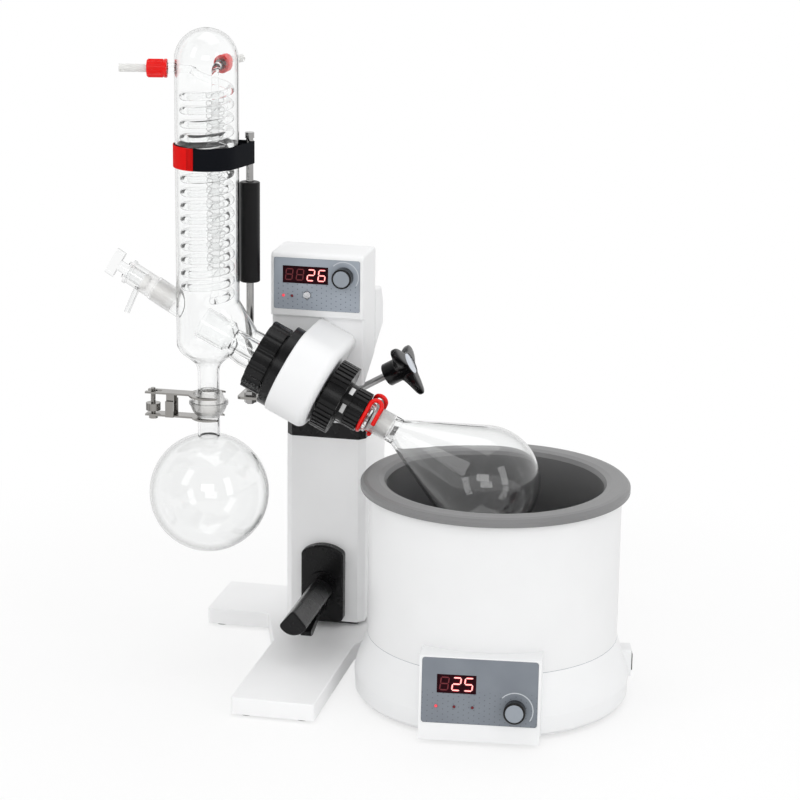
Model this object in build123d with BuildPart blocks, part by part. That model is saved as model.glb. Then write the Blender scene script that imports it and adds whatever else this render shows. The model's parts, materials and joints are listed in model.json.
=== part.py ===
"""Rotary evaporator: stand, hand lift, drive head, glassware and heating bath. Millimetres, +Z up."""
import os
from math import cos, pi, radians, sin, sqrt, tan

from build123d import *

os.makedirs("parts", exist_ok=True)

# Clearances
RUN = 0.3            # between curved faces of different bodies
SLIDE = 0.4          # between flat sliding faces
WALL = 3.0           # moulded housing wall
GLASS = 2.2          # glass wall

# Heating bath, on the bench
BATH_Y = -122.0
BATH_R = 135.5
BATH_SEAM_Z = 70.0
BATH_TOP_Z = 240.0
BATH_FLARE = 13.5    # how far the foot of the bath stands out
BATH_FLARE_R = BATH_R + BATH_FLARE
BATH_FLARE_Z = 26.0
BATH_FOOT_H = 4.0
POT_R = BATH_R - 19.2
POT_FLOOR_Z = 115.0
POT_T = 1.5
RIM_R = BATH_R + 8.8
PANEL_AZ = 5.56      # bearing of the control panel from straight ahead, degrees
PANEL_DIST = BATH_FLARE_R + 5
PANEL_TILT = 5.73
PANEL_Z = 57.9
PANEL_W = 120.7
PANEL_H = 69.7
BLOCK_W = 126.0
BLOCK_TOP = 94.0

# Base plate
FOOT_H = 3.0
BASE_T = 18.5
BASE_TOP = FOOT_H + BASE_T
WING_X = 144.0
WING_Y0 = 0.0
WING_Y1 = 97.8
LEG_X0 = -42.7
LEG_X1 = 49.0
LEG_Y0 = -262.7
LEG_Y1 = -84.0
SHOULDER_X = -70.9
BAY_R = BATH_FLARE_R + 21    # bay in the base around the round bath
BAY_BITE = 6.0               # how far the bay reaches into the front leg
BATH_X = LEG_X1 + BAY_R - BAY_BITE
BAY_Y0 = BATH_Y + sqrt(BAY_R ** 2 - (BATH_X - LEG_X1) ** 2)
BAY_Y1 = BATH_Y + sqrt(BAY_R ** 2 - (BATH_X - WING_X) ** 2)

# Lift column
COL_W = 91.2
COL_D = 110.0
COL_FRONT = -18.3
BEVEL_X = 7.1
BEVEL_Y = 8.2
COL_WALL = 4.0
COL_Y = COL_FRONT + COL_D / 2
SLEEVE_Z0 = 26.0
SLEEVE_Z1 = 243.0
CAP_Z1 = 261.0
GUIDE_H = 20.0
POST_W = 64.0
POST_D = 78.0
POST_T = 4.0
POST_Z1 = 235.0
SPRING_R = 9.0
SPRING_Z1 = 200.0
SPRING_ROD_R = 4.0
PISTON_Z = 36.0      # underside of the gas spring's piston at rest

# Lift handle
GRIP_Z = 72.0
GRIP_END = -163.0
PLATE_W = 49.0
PLATE_Z0 = 28.0
PLATE_Z1 = 119.0
PLATE_FRONT = -30.0
TRIGGER_Y = -47.0
TRIGGER_Z = 54.0

# Drive: the axis slopes down towards +X through the tilt pivot
TILT = 26.5
CT = cos(radians(TILT))
ST = sin(radians(TILT))
PIVOT_X = 3.0
PIVOT_Z = 337.0
AXIS_Y = BATH_Y
HOUSE_R = 48.0
HOUSE_S0 = -23.5
HOUSE_S1 = 23.5
HOUSE_BACK = 67.0    # behind the axis
FLANGE_R = 46.0
FLANGE_S0 = -33.5
SPIGOT_R = 33.0
SPIGOT_S0 = -45.5
NUT_R = 39.5
NUT_S0 = -58.0
NUT_S1 = -37.5
HUB_R = 18.0
BEARING_R = 26.0
TUBE_R = 12.0
TUBE_BORE = 8.5
RING_R = 39.5
RING_S0 = 27.0
RING_S1 = 47.0
COUPLER_R = 22.5
COUPLER_S1 = 56.5
EJECT_S1 = 72.5
THREAD_R = 17.5
BOSS_R = 24.0        # tilt boss
COLLAR_R = 30.5
GEAR_M = 2.0
GEAR_N = 32
PINION_N = 10
GEAR_S0 = -19.0
GEAR_T = 10.0
MOTOR_OFF = GEAR_M * (GEAR_N + PINION_N) / 2

# Evaporating flask, along the drive axis from the pivot
MOUTH_S = 76.5
NECK_R = 14.75
NECK_S1 = 114.0
BULB_S = 221.5
BULB_R = 60.3
CONE = 26.0

# Condenser and receiver
COND_X = -105.0
COND_R = 34.2
COND_TOP = 711.0
TAPER_Z1 = 373.0
TAPER_Z0 = 338.0
STEM_R = 11.7
BALL_Z = 305.7
BALL_R = 17.5
CUP_R = 20.3
RECEIVER_R = 65.5
RECEIVER_Z = 202.7
ARM_R = 21.5
ARM_S1 = -46.5
ROOT_S = -72.0       # where the arm starts to widen into the condenser
ROOT_END_S = -116.0
ROOT_R = 31.0
ROOT_RISE = 17.0
COIL_R = 25.0
COIL_TUBE = 4.0
COIL_PITCH = 14.6
COIL_Z0 = 426.0
RETURN_X = 8.0
RETURN_Y = 4.0
NOZZLE_Z = COND_TOP - 43.5
COIL_TURNS = round((NOZZLE_Z - 22.5 - COIL_Z0) / COIL_PITCH)
FEED_ANGLE = 30.5
FEED_Z = 392.6

# Support rod beside the condenser
ROD_X = COND_X + 38.5
ROD_Y = AXIS_Y + 30.0
ROD_R = 4.0
ROD_Z0 = 298.0
ROD_Z1 = COND_TOP - 113.5
BRACKET_Z = 304.5
BRACKET_T = 3.0
STRAP_Z0 = COND_TOP - 147
STRAP_W = 24.0
PAD_R = 11.0
PAD_Z0 = 435.0
PAD_Z1 = STRAP_Z0 - 20

# Drive head
HEAD_W = 104.0
HEAD_FRONT = -60.0
HEAD_STEP = 6.0
HEAD_LOWER = HEAD_FRONT + HEAD_STEP
HEAD_BACK = 2.0
HEAD_TOP = 462.0
HEAD_STEP_Z = 392.0
HEAD_LIP_Z = 316.0
SLOPE = 0.49
NECK_GAP = 3.5       # between the tilt collar and the neck's walls
NECK_W = 2 * (COLLAR_R + NECK_GAP + WALL)
NECK_FRONT = HEAD_LOWER + 4
NECK_BACK = 20.0
COVER_TOP = HEAD_TOP - 48
COVER_BACK = HEAD_BACK + 42
FACE_W = 96.7
FACE_Z0 = 398.9
FACE_Z1 = 456.4
FACE_T = 2.5
KNOB_X = 30.1
KNOB_Z = 438.1
KNOB_R = 11.0
SHAFT_R = 3.0
BUTTON_X = -10.9
BUTTON_Z = 415.6
BUTTON_R = 4.2
DISPLAY_X0 = -38.4
DISPLAY_X1 = 12.7
DISPLAY_Z0 = 428.2
DISPLAY_Z1 = 447.6

# Star knob rod, tangent to the tilt collar
STAR_ANGLE = 30.0
STAR_OFF = 46.0
STAR_Y = -36.0
STAR_ROD_R = 4.0
STAR_HUB_U = 55.5
STAR_HUB_R = 13.0
STAR_U = 72.0
STAR_T = 13.5
STAR_REACH = 36.0

# Spherical joint clamp
CLAMP_PIVOT_X = -147.0
CLAMP_PIVOT_Z = 296.0
CLAMP_SCREW_X = -168.0
CLAMP_T = 2.0
CLAMP_LOW_Z = 286.6
CLAMP_TOP_Z = 311.6


def front(y):
    """Plane facing the viewer at this depth: local x is X and local y is Z."""
    return Plane(origin=(0, y, 0), x_dir=(1, 0, 0), z_dir=(0, -1, 0))


def side(x):
    """Plane facing +X: local x is Y and local y is Z."""
    return Plane(origin=(x, 0, 0), x_dir=(0, 1, 0), z_dir=(1, 0, 0))


def level(z):
    return Plane.XY.offset(z)


def ray(centre_x, centre_y, radius, angle):
    """Point on a circle at an angle in degrees."""
    return (centre_x + radius * cos(radians(angle)), centre_y + radius * sin(radians(angle)))


def turn(points, plane, axis, mode=Mode.ADD):
    """Revolve a closed polygon into the part being built."""
    with BuildSketch(plane) as profile:
        with BuildLine():
            Polyline(*points, close=True)
        make_face()
    revolve(profile.sketch, axis=axis, mode=mode)


def prism(plane, points, depth, mode=Mode.ADD, both=False):
    """Extrude a closed polygon."""
    with BuildSketch(plane) as outline:
        with BuildLine():
            Polyline(*points, close=True)
        make_face()
    extrude(outline.sketch, amount=depth, both=both, mode=mode)


def disc(plane, radius, depth, at=(0, 0), mode=Mode.ADD):
    """Extrude a circle."""
    with BuildSketch(plane) as outline:
        with Locations(at):
            Circle(radius)
    extrude(outline.sketch, amount=depth, mode=mode)


def tube(plane, outer, inner, depth, at=(0, 0)):
    """Extrude a ring."""
    with BuildSketch(plane) as outline:
        with Locations(at):
            Circle(outer)
            Circle(inner, mode=Mode.SUBTRACT)
    extrude(outline.sketch, amount=depth)


def slab(plane, width, height, depth, at=(0, 0), corner=0, mode=Mode.ADD):
    """Extrude a rectangle, with rounded corners where a radius is given."""
    with BuildSketch(plane) as outline:
        with Locations(at):
            if corner:
                RectangleRounded(width, height, corner)
            else:
                Rectangle(width, height)
    extrude(outline.sketch, amount=depth, mode=mode)


def ribbed(plane, outer, inner, count, cut_w, cut_d, depth):
    """Ring with straight grooves around its rim."""
    with BuildSketch(plane) as outline:
        Circle(outer)
        with PolarLocations(outer, count):
            Rectangle(2 * cut_d, cut_w, mode=Mode.SUBTRACT)
        Circle(inner, mode=Mode.SUBTRACT)
    extrude(outline.sketch, amount=depth)


def toothed(plane, module, count, bore, depth, at=(0, 0), start=0.0):
    """Spur gear with slim straight-sided teeth, thinned so that a pair runs with backlash."""
    pitch = module * count / 2
    with BuildSketch(plane) as outline:
        with Locations(at):
            Circle(pitch - 0.95 * module)
        with Locations(at):
            with PolarLocations(pitch - 0.15 * module, count, start_angle=start):
                Trapezoid(1.45 * module, 1.7 * module, 74, rotation=-90)
        if bore:
            with Locations(at):
                Circle(bore, mode=Mode.SUBTRACT)
    extrude(outline.sketch, amount=depth)


def column_points(inset):
    """Plan outline of the column with its bevelled front corners."""
    half = COL_W / 2 - inset
    near = COL_FRONT + inset
    far = COL_FRONT + COL_D - inset
    bx = BEVEL_X - 0.4 * inset
    by = BEVEL_Y - 0.4 * inset
    return [(-half, far), (half, far), (half, near + by), (half - bx, near),
            (bx - half, near), (-half, near + by)]


DRIVE = Plane(origin=(PIVOT_X, AXIS_Y, PIVOT_Z), x_dir=(0, 1, 0), z_dir=(CT, 0, -ST))
DRIVE_SIDE = Plane(origin=(PIVOT_X, AXIS_Y, PIVOT_Z), x_dir=(CT, 0, -ST), z_dir=(0, -1, 0))
DRIVE_AXIS = Axis((PIVOT_X, AXIS_Y, PIVOT_Z), (CT, 0, -ST))
COND_SIDE = Plane(origin=(COND_X, AXIS_Y, 0), x_dir=(1, 0, 0), z_dir=(0, -1, 0))
COND_AXIS = Axis((COND_X, AXIS_Y, 0), (0, 0, 1))
BATH_SIDE = Plane(origin=(BATH_X, BATH_Y, 0), x_dir=(1, 0, 0), z_dir=(0, -1, 0))
BATH_AXIS = Axis((BATH_X, BATH_Y, 0), (0, 0, 1))
PN_X = sin(radians(PANEL_AZ))
PN_Y = -cos(radians(PANEL_AZ))
PANEL_SIDE = Plane(origin=(BATH_X, BATH_Y, 0), x_dir=(PN_X, PN_Y, 0), z_dir=(PN_Y, -PN_X, 0))
PANEL = Plane(
    origin=(BATH_X + PN_X * PANEL_DIST, BATH_Y + PN_Y * PANEL_DIST, PANEL_Z),
    x_dir=(-PN_Y, PN_X, 0),
    z_dir=(PN_X * cos(radians(PANEL_TILT)), PN_Y * cos(radians(PANEL_TILT)), sin(radians(PANEL_TILT))),
)
FEED_C = cos(radians(FEED_ANGLE))
FEED_S = sin(radians(FEED_ANGLE))
FEED = Plane(origin=(COND_X, AXIS_Y, FEED_Z), x_dir=(0, 1, 0), z_dir=(-FEED_C, 0, FEED_S))
STAR_C = cos(radians(STAR_ANGLE))
STAR_S = sin(radians(STAR_ANGLE))
STAR_FOOT = (PIVOT_X + STAR_OFF * STAR_S, STAR_Y, PIVOT_Z - STAR_OFF * STAR_C)
STAR = Plane(origin=STAR_FOOT, x_dir=(0, 1, 0), z_dir=(STAR_C, 0, STAR_S))
STAR_SIDE = Plane(origin=STAR_FOOT, x_dir=(STAR_C, 0, STAR_S), z_dir=(0, -1, 0))
STAR_AXIS = Axis(STAR_FOOT, (STAR_C, 0, STAR_S))
NOZZLE_LEFT = Plane(origin=(COND_X, AXIS_Y, NOZZLE_Z), x_dir=(0, 0, 1), z_dir=(-0.978, -0.207, 0))
NOZZLE_REAR = Plane(origin=(COND_X, AXIS_Y, NOZZLE_Z), x_dir=(0, 0, 1), z_dir=(0.14, 0.99, 0))

# Base plate with its bay for the bath
with BuildPart() as base:
    with BuildSketch(level(FOOT_H)):
        with BuildLine():
            Polyline(
                (LEG_X1, BAY_Y0), (LEG_X1, LEG_Y0), (LEG_X0, LEG_Y0), (LEG_X0, LEG_Y1),
                (SHOULDER_X, WING_Y0), (-WING_X, WING_Y0), (-WING_X, WING_Y1), (WING_X, WING_Y1),
                (WING_X, BAY_Y1),
            )
            ThreePointArc((WING_X, BAY_Y1), ray(BATH_X, BATH_Y, BAY_R, 139.3), (LEG_X1, BAY_Y0))
        make_face()
    extrude(amount=BASE_T)
    fillet(base.edges().filter_by(Axis.Z), 4)
    fillet(base.faces().sort_by(Axis.Z)[-1].edges(), 1.5)
    slab(level(FOOT_H), 76, 200, 12, at=(3, -132), corner=6, mode=Mode.SUBTRACT)
    slab(level(FOOT_H), 62, 84, 12, at=(-82, 49), corner=6, mode=Mode.SUBTRACT)
    slab(level(FOOT_H), 40, 40, 12, at=(82, 70), corner=6, mode=Mode.SUBTRACT)
    slab(level(FOOT_H), 5, 200, 12, at=(3, -132))
    slab(level(FOOT_H), 62, 5, 12, at=(-82, 49))
base.part.label = "base"
export_step(base.part, "parts/base.step")

with BuildPart() as base_feet:
    for foot in ((-129, 15), (-129, 83), (128, 83), (-27, -248), (34, -248), (0, 0)):
        disc(level(0), 9, FOOT_H, at=foot)
base_feet.part.label = "base_feet"
export_step(base_feet.part, "parts/base_feet.step")

# Fixed post that the column slides on, with a guide collar at its top
with BuildPart() as inner_post:
    slab(level(BASE_TOP), POST_W + 12, POST_D + 18, 4, at=(0, COL_Y), corner=4)
    slab(level(BASE_TOP), POST_W, POST_D, POST_Z1 - BASE_TOP, at=(0, COL_Y))
    prism(level(POST_Z1 - GUIDE_H), column_points(COL_WALL + SLIDE), GUIDE_H)
    slab(level(BASE_TOP), POST_W - 2 * POST_T, POST_D - 2 * POST_T, POST_Z1, at=(0, COL_Y),
         mode=Mode.SUBTRACT)
inner_post.part.label = "inner_post"
export_step(inner_post.part, "parts/inner_post.step")

with BuildPart() as gas_spring_body:
    disc(level(BASE_TOP), SPRING_R, SPRING_Z1 - BASE_TOP, at=(0, COL_Y))
    disc(level(BASE_TOP + 6), SPRING_R - 1, SPRING_Z1 - BASE_TOP - 12, at=(0, COL_Y), mode=Mode.SUBTRACT)
    disc(level(SPRING_Z1 - 8), SPRING_ROD_R + RUN, 10, at=(0, COL_Y), mode=Mode.SUBTRACT)
gas_spring_body.part.label = "gas_spring_body"
export_step(gas_spring_body.part, "parts/gas_spring_body.step")

with BuildPart() as gas_spring_rod:
    disc(level(PISTON_Z), SPRING_R - 1 - RUN, 5, at=(0, COL_Y))
    disc(level(PISTON_Z), SPRING_ROD_R, SLEEVE_Z1 - 4 - PISTON_Z, at=(0, COL_Y))
gas_spring_rod.part.label = "gas_spring_rod"
export_step(gas_spring_rod.part, "parts/gas_spring_rod.step")

# Column sleeve, with a guide collar round the post at its foot
with BuildPart() as column_sleeve:
    prism(level(SLEEVE_Z0), column_points(0), SLEEVE_Z1 - SLEEVE_Z0)
    fillet(column_sleeve.edges().filter_by(Axis.Z).sort_by(Axis.Y)[-2:], 6)
    prism(level(SLEEVE_Z0 + GUIDE_H), column_points(COL_WALL), SLEEVE_Z1, mode=Mode.SUBTRACT)
    slab(level(SLEEVE_Z0), POST_W + 2 * SLIDE, POST_D + 2 * SLIDE, GUIDE_H, at=(0, COL_Y),
         mode=Mode.SUBTRACT)
column_sleeve.part.label = "column_sleeve"
export_step(column_sleeve.part, "parts/column_sleeve.step")

with BuildPart() as column_cap:
    prism(level(SLEEVE_Z1), column_points(0.2), CAP_Z1 - SLEEVE_Z1)
    chamfer(column_cap.faces().sort_by(Axis.Z)[-1].edges(), 1)
    prism(level(SLEEVE_Z1 - 4), column_points(COL_WALL), 4)
column_cap.part.label = "column_cap"
export_step(column_cap.part, "parts/column_cap.step")

# Lift handle: plate on the column's front, three-sided grip and squeeze lever
with BuildPart() as handle_plate:
    with BuildSketch(front(COL_FRONT)):
        with BuildLine():
            Polyline((-PLATE_W / 2, PLATE_Z1 - 9), (-PLATE_W / 2, PLATE_Z0), (PLATE_W / 2, PLATE_Z0),
                     (PLATE_W / 2, PLATE_Z1 - 9))
            ThreePointArc((PLATE_W / 2, PLATE_Z1 - 9), (0, PLATE_Z1), (-PLATE_W / 2, PLATE_Z1 - 9))
        make_face()
        fillet(vertices(), 7)
    extrude(amount=COL_FRONT - PLATE_FRONT)
    fillet(handle_plate.faces().sort_by(Axis.Y)[0].edges(), 2.5)
    disc(front(PLATE_FRONT), 16, 3, at=(0, GRIP_Z))
handle_plate.part.label = "handle_plate"
export_step(handle_plate.part, "parts/handle_plate.step")

with BuildPart() as lift_grip:
    with BuildSketch(front(PLATE_FRONT - 3)):
        with BuildLine():
            Polyline((15.5, GRIP_Z - 3), (0, GRIP_Z + 16), (-15.5, GRIP_Z - 3))
            ThreePointArc((-15.5, GRIP_Z - 3), (0, GRIP_Z - 13.4), (15.5, GRIP_Z - 3))
        make_face()
        fillet(vertices(), 4)
    extrude(amount=PLATE_FRONT - 3 - GRIP_END)
    fillet(lift_grip.faces().sort_by(Axis.Y)[0].edges(), 2)
    for ear_x in (-9.4, 6.4):
        slab(side(ear_x), 12, 15, 3, at=(TRIGGER_Y, TRIGGER_Z + 3.5))
    disc(side(-12), 2.5 + RUN, 24, at=(TRIGGER_Y, TRIGGER_Z), mode=Mode.SUBTRACT)
lift_grip.part.label = "lift_grip"
export_step(lift_grip.part, "parts/lift_grip.step")

with BuildPart() as lift_trigger:
    prism(side(-6), [(TRIGGER_Y + out, TRIGGER_Z + up) for out, up in
                     ((5, 3), (5, -3), (-13, -7), (-48, -18), (-57, -17), (-57, -11), (-45, -8), (-13, -1),
                      (-5, 3))], 12)
    fillet(lift_trigger.edges().filter_by(Axis.X).sort_by(Axis.Y)[:2], 2)
    disc(side(-9.4), 2.5, 18.8, at=(TRIGGER_Y, TRIGGER_Z))
lift_trigger.part.label = "lift_trigger"
export_step(lift_trigger.part, "parts/lift_trigger.step")

# Head housing: control block, sloping underside and a neck down to the column cap
UNDER_BACK = HEAD_LIP_Z + SLOPE * (HEAD_BACK - HEAD_LOWER)
UNDER_COVER = HEAD_LIP_Z + SLOPE * (COVER_BACK - HEAD_LOWER)
with BuildPart() as head_housing:
    with BuildSketch(side(-HEAD_W / 2)):
        with BuildLine():
            Polyline((HEAD_FRONT, HEAD_TOP), (HEAD_FRONT, HEAD_STEP_Z), (HEAD_LOWER, HEAD_STEP_Z - 1.5),
                     (HEAD_LOWER, HEAD_LIP_Z), (HEAD_BACK, UNDER_BACK), (HEAD_BACK, HEAD_TOP), close=True)
        make_face()
        fillet(vertices().sort_by(Axis.Y)[-2:], 6)
    extrude(amount=HEAD_W)
    fillet(head_housing.edges().filter_by(Axis.Z).sort_by(Axis.Y)[:4], 3)
    prism(side(-NECK_W / 2),
          [(COL_FRONT, CAP_Z1), (NECK_FRONT, CAP_Z1 + 25), (NECK_FRONT, HEAD_LIP_Z + 4),
           (HEAD_LOWER + 3, HEAD_LIP_Z + 14), (NECK_BACK, HEAD_LIP_Z + 36), (NECK_BACK, CAP_Z1)], NECK_W)
    prism(side(-HEAD_W / 2 + WALL),
          [(HEAD_LOWER + WALL, HEAD_TOP - WALL), (HEAD_LOWER + WALL, HEAD_LIP_Z + 5),
           (HEAD_BACK + 1, UNDER_BACK + 4), (HEAD_BACK + 1, COVER_TOP - 4), (HEAD_BACK - WALL, COVER_TOP - 4),
           (HEAD_BACK - WALL, HEAD_TOP - WALL)],
          HEAD_W - 2 * WALL, mode=Mode.SUBTRACT)
    prism(side(-NECK_W / 2 + WALL),
          [(COL_FRONT + 2, CAP_Z1 + WALL), (NECK_FRONT + WALL, CAP_Z1 + 27),
           (NECK_FRONT + WALL, HEAD_LIP_Z + 29), (NECK_BACK - WALL, HEAD_LIP_Z + 33),
           (NECK_BACK - WALL, CAP_Z1 + WALL)],
          NECK_W - 2 * WALL, mode=Mode.SUBTRACT)
    slab(front(HEAD_FRONT), FACE_W, FACE_Z1 - FACE_Z0, -FACE_T, at=(0, (FACE_Z0 + FACE_Z1) / 2), corner=2,
         mode=Mode.SUBTRACT)
    slab(front(HEAD_FRONT), FACE_W - 10, FACE_Z1 - FACE_Z0 - 10, -12, at=(0, (FACE_Z0 + FACE_Z1) / 2),
         mode=Mode.SUBTRACT)
    disc(front(HEAD_LOWER - 10), BOSS_R + 0.6, -18, at=(PIVOT_X, PIVOT_Z), mode=Mode.SUBTRACT)
    disc(STAR, STAR_ROD_R + 0.6, 60, mode=Mode.SUBTRACT)
head_housing.part.label = "head_housing"
export_step(head_housing.part, "parts/head_housing.step")

with BuildPart() as head_rear_cover:
    with BuildSketch(side(-HEAD_W / 2)):
        with BuildLine():
            Polyline((HEAD_BACK, COVER_TOP), (HEAD_BACK, UNDER_BACK), (COVER_BACK, UNDER_COVER),
                     (COVER_BACK, COVER_TOP - 24), (COVER_BACK - 11, COVER_TOP - 4), close=True)
        make_face()
        fillet(vertices().sort_by(Axis.X)[-3:], 5)
    extrude(amount=HEAD_W)
    for end in (0, -1):
        rim = head_rear_cover.faces().sort_by(Axis.X)[end].edges().filter_by(GeomType.LINE)
        fillet(rim.sort_by(Axis.Y)[-1], 3)
    prism(side(-HEAD_W / 2 + WALL),
          [(HEAD_BACK - 1, COVER_TOP - 4), (HEAD_BACK - 1, UNDER_BACK + 4),
           (COVER_BACK - WALL, UNDER_COVER + 4), (COVER_BACK - WALL, COVER_TOP - 26),
           (COVER_BACK - 13, COVER_TOP - 8)],
          HEAD_W - 2 * WALL, mode=Mode.SUBTRACT)
    prism(side(-NECK_W / 2 - 1),
          [(HEAD_BACK - 1, HEAD_LIP_Z + 37), (HEAD_BACK - 1, UNDER_BACK - 3), (NECK_BACK + 1, UNDER_BACK - 3),
           (NECK_BACK + 1, HEAD_LIP_Z + 46)],
          NECK_W + 2, mode=Mode.SUBTRACT)
head_rear_cover.part.label = "head_rear_cover"
export_step(head_rear_cover.part, "parts/head_rear_cover.step")

with BuildPart() as head_panel:
    slab(front(HEAD_FRONT + FACE_T), FACE_W - 0.4, FACE_Z1 - FACE_Z0 - 0.4, FACE_T,
         at=(0, (FACE_Z0 + FACE_Z1) / 2), corner=2)
    slab(front(HEAD_FRONT + 5), DISPLAY_X1 - DISPLAY_X0, DISPLAY_Z1 - DISPLAY_Z0, 8,
         at=((DISPLAY_X0 + DISPLAY_X1) / 2, (DISPLAY_Z0 + DISPLAY_Z1) / 2), mode=Mode.SUBTRACT)
    disc(front(HEAD_FRONT + 5), SHAFT_R + RUN, 8, at=(KNOB_X, KNOB_Z), mode=Mode.SUBTRACT)
    disc(front(HEAD_FRONT + 5), BUTTON_R + RUN, 8, at=(BUTTON_X, BUTTON_Z), mode=Mode.SUBTRACT)
    for led_x in (-37.3, -27.7):
        disc(front(HEAD_FRONT), 1.6, 0.6, at=(led_x, BUTTON_Z - 1.4))
head_panel.part.label = "head_panel"
export_step(head_panel.part, "parts/head_panel.step")

with BuildPart() as head_display:
    slab(front(HEAD_FRONT + 7), DISPLAY_X1 - DISPLAY_X0 - 0.4, DISPLAY_Z1 - DISPLAY_Z0 - 0.4, 6.5,
         at=((DISPLAY_X0 + DISPLAY_X1) / 2, (DISPLAY_Z0 + DISPLAY_Z1) / 2))
head_display.part.label = "head_display"
export_step(head_display.part, "parts/head_display.step")

# Board behind the panel, with the speed knob's encoder and the button's switch on it
with BuildPart() as head_board:
    slab(front(HEAD_FRONT + 8.6), FACE_W - 14, FACE_Z1 - FACE_Z0 - 14, 1.6, at=(0, (FACE_Z0 + FACE_Z1) / 2))
    slab(front(HEAD_FRONT + 7), 12, 12, 4.3, at=(KNOB_X, KNOB_Z))
    slab(front(HEAD_FRONT + 7), 6, 6, 1.6, at=(BUTTON_X, BUTTON_Z))
    disc(front(HEAD_FRONT + 7), SHAFT_R + RUN, 5, at=(KNOB_X, KNOB_Z), mode=Mode.SUBTRACT)
    for post_x in (-34, 34):
        disc(front(HEAD_FRONT + 8.6), 3, -3, at=(post_x, FACE_Z0 + 11))
head_board.part.label = "head_board"
export_step(head_board.part, "parts/head_board.step")

with BuildPart() as speed_knob:
    disc(front(HEAD_FRONT - 0.5), KNOB_R, 12, at=(KNOB_X, KNOB_Z))
    fillet(speed_knob.faces().sort_by(Axis.Y)[0].edges(), 1.2)
    disc(front(HEAD_FRONT + 6.4), SHAFT_R, 7, at=(KNOB_X, KNOB_Z))
speed_knob.part.label = "speed_knob"
export_step(speed_knob.part, "parts/speed_knob.step")

with BuildPart() as start_button:
    disc(front(HEAD_FRONT + 3.6), BUTTON_R, 5.4, at=(BUTTON_X, BUTTON_Z))
    fillet(start_button.faces().sort_by(Axis.Y)[0].edges(), 0.8)
start_button.part.label = "start_button"
export_step(start_button.part, "parts/start_button.step")

# Split collar round the tilt boss, closed by the star knob's rod
EAR_END = STAR_OFF + 6.5
with BuildPart() as tilt_collar:
    tube(front(-20), COLLAR_R, BOSS_R + RUN, 27, at=(PIVOT_X, PIVOT_Z))
    with BuildSketch(front(STAR_Y + 9)) as ear_face:
        with BuildLine():
            Polyline(
                (PIVOT_X + 28 * STAR_S - 5 * STAR_C, PIVOT_Z - 28 * STAR_C - 5 * STAR_S),
                (PIVOT_X + 28 * STAR_S + 5 * STAR_C, PIVOT_Z - 28 * STAR_C + 5 * STAR_S),
                (PIVOT_X + EAR_END * STAR_S + 5 * STAR_C, PIVOT_Z - EAR_END * STAR_C + 5 * STAR_S),
                (PIVOT_X + EAR_END * STAR_S - 5 * STAR_C, PIVOT_Z - EAR_END * STAR_C - 5 * STAR_S),
                close=True,
            )
        make_face()
    extrude(amount=18)
    with BuildSketch(front(-19)) as slit_face:
        with BuildLine():
            Polyline(
                (PIVOT_X + 20 * STAR_S - STAR_C, PIVOT_Z - 20 * STAR_C - STAR_S),
                (PIVOT_X + 20 * STAR_S + STAR_C, PIVOT_Z - 20 * STAR_C + STAR_S),
                (PIVOT_X + (EAR_END + 2) * STAR_S + STAR_C, PIVOT_Z - (EAR_END + 2) * STAR_C + STAR_S),
                (PIVOT_X + (EAR_END + 2) * STAR_S - STAR_C, PIVOT_Z - (EAR_END + 2) * STAR_C - STAR_S),
                close=True,
            )
        make_face()
    extrude(amount=30, mode=Mode.SUBTRACT)
    disc(STAR.offset(-10), STAR_ROD_R + RUN, 20, mode=Mode.SUBTRACT)
    slab(front(-47), 2 * COLLAR_R, 24, 4, at=(PIVOT_X, PIVOT_Z + COLLAR_R - 6))
    disc(front(-40), BOSS_R + RUN, 14, at=(PIVOT_X, PIVOT_Z), mode=Mode.SUBTRACT)
tilt_collar.part.label = "tilt_collar"
export_step(tilt_collar.part, "parts/tilt_collar.step")

with BuildPart() as clamp_rod:
    disc(STAR.offset(-8), STAR_ROD_R, STAR_HUB_U + 20)
clamp_rod.part.label = "clamp_rod"
export_step(clamp_rod.part, "parts/clamp_rod.step")

with BuildPart() as star_knob:
    with BuildSketch(STAR.offset(STAR_U)):
        Circle(15.5)
        with PolarLocations(0, 3, start_angle=30):
            Polygon((0, -10), (STAR_REACH - 5, -5), (STAR_REACH - 5, 5), (0, 10), align=None)
        with PolarLocations(STAR_REACH - 5, 3, start_angle=30):
            Circle(5)
    extrude(amount=STAR_T)
    turn([(STAR_U, 0), (STAR_U, STAR_HUB_R), (STAR_U + 6.5, STAR_REACH), (STAR_U + STAR_T - 3, STAR_REACH),
          (STAR_U + STAR_T, 15.5), (STAR_U + STAR_T, 0)], STAR_SIDE, STAR_AXIS, mode=Mode.INTERSECT)
    disc(STAR.offset(STAR_HUB_U), STAR_HUB_R, STAR_U - STAR_HUB_U + 1)
    disc(STAR.offset(STAR_U + STAR_T), 13.5, 1.5)
    disc(STAR.offset(STAR_HUB_U), STAR_ROD_R, 12, mode=Mode.SUBTRACT)
star_knob.part.label = "star_knob"
export_step(star_knob.part, "parts/star_knob.step")

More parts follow.
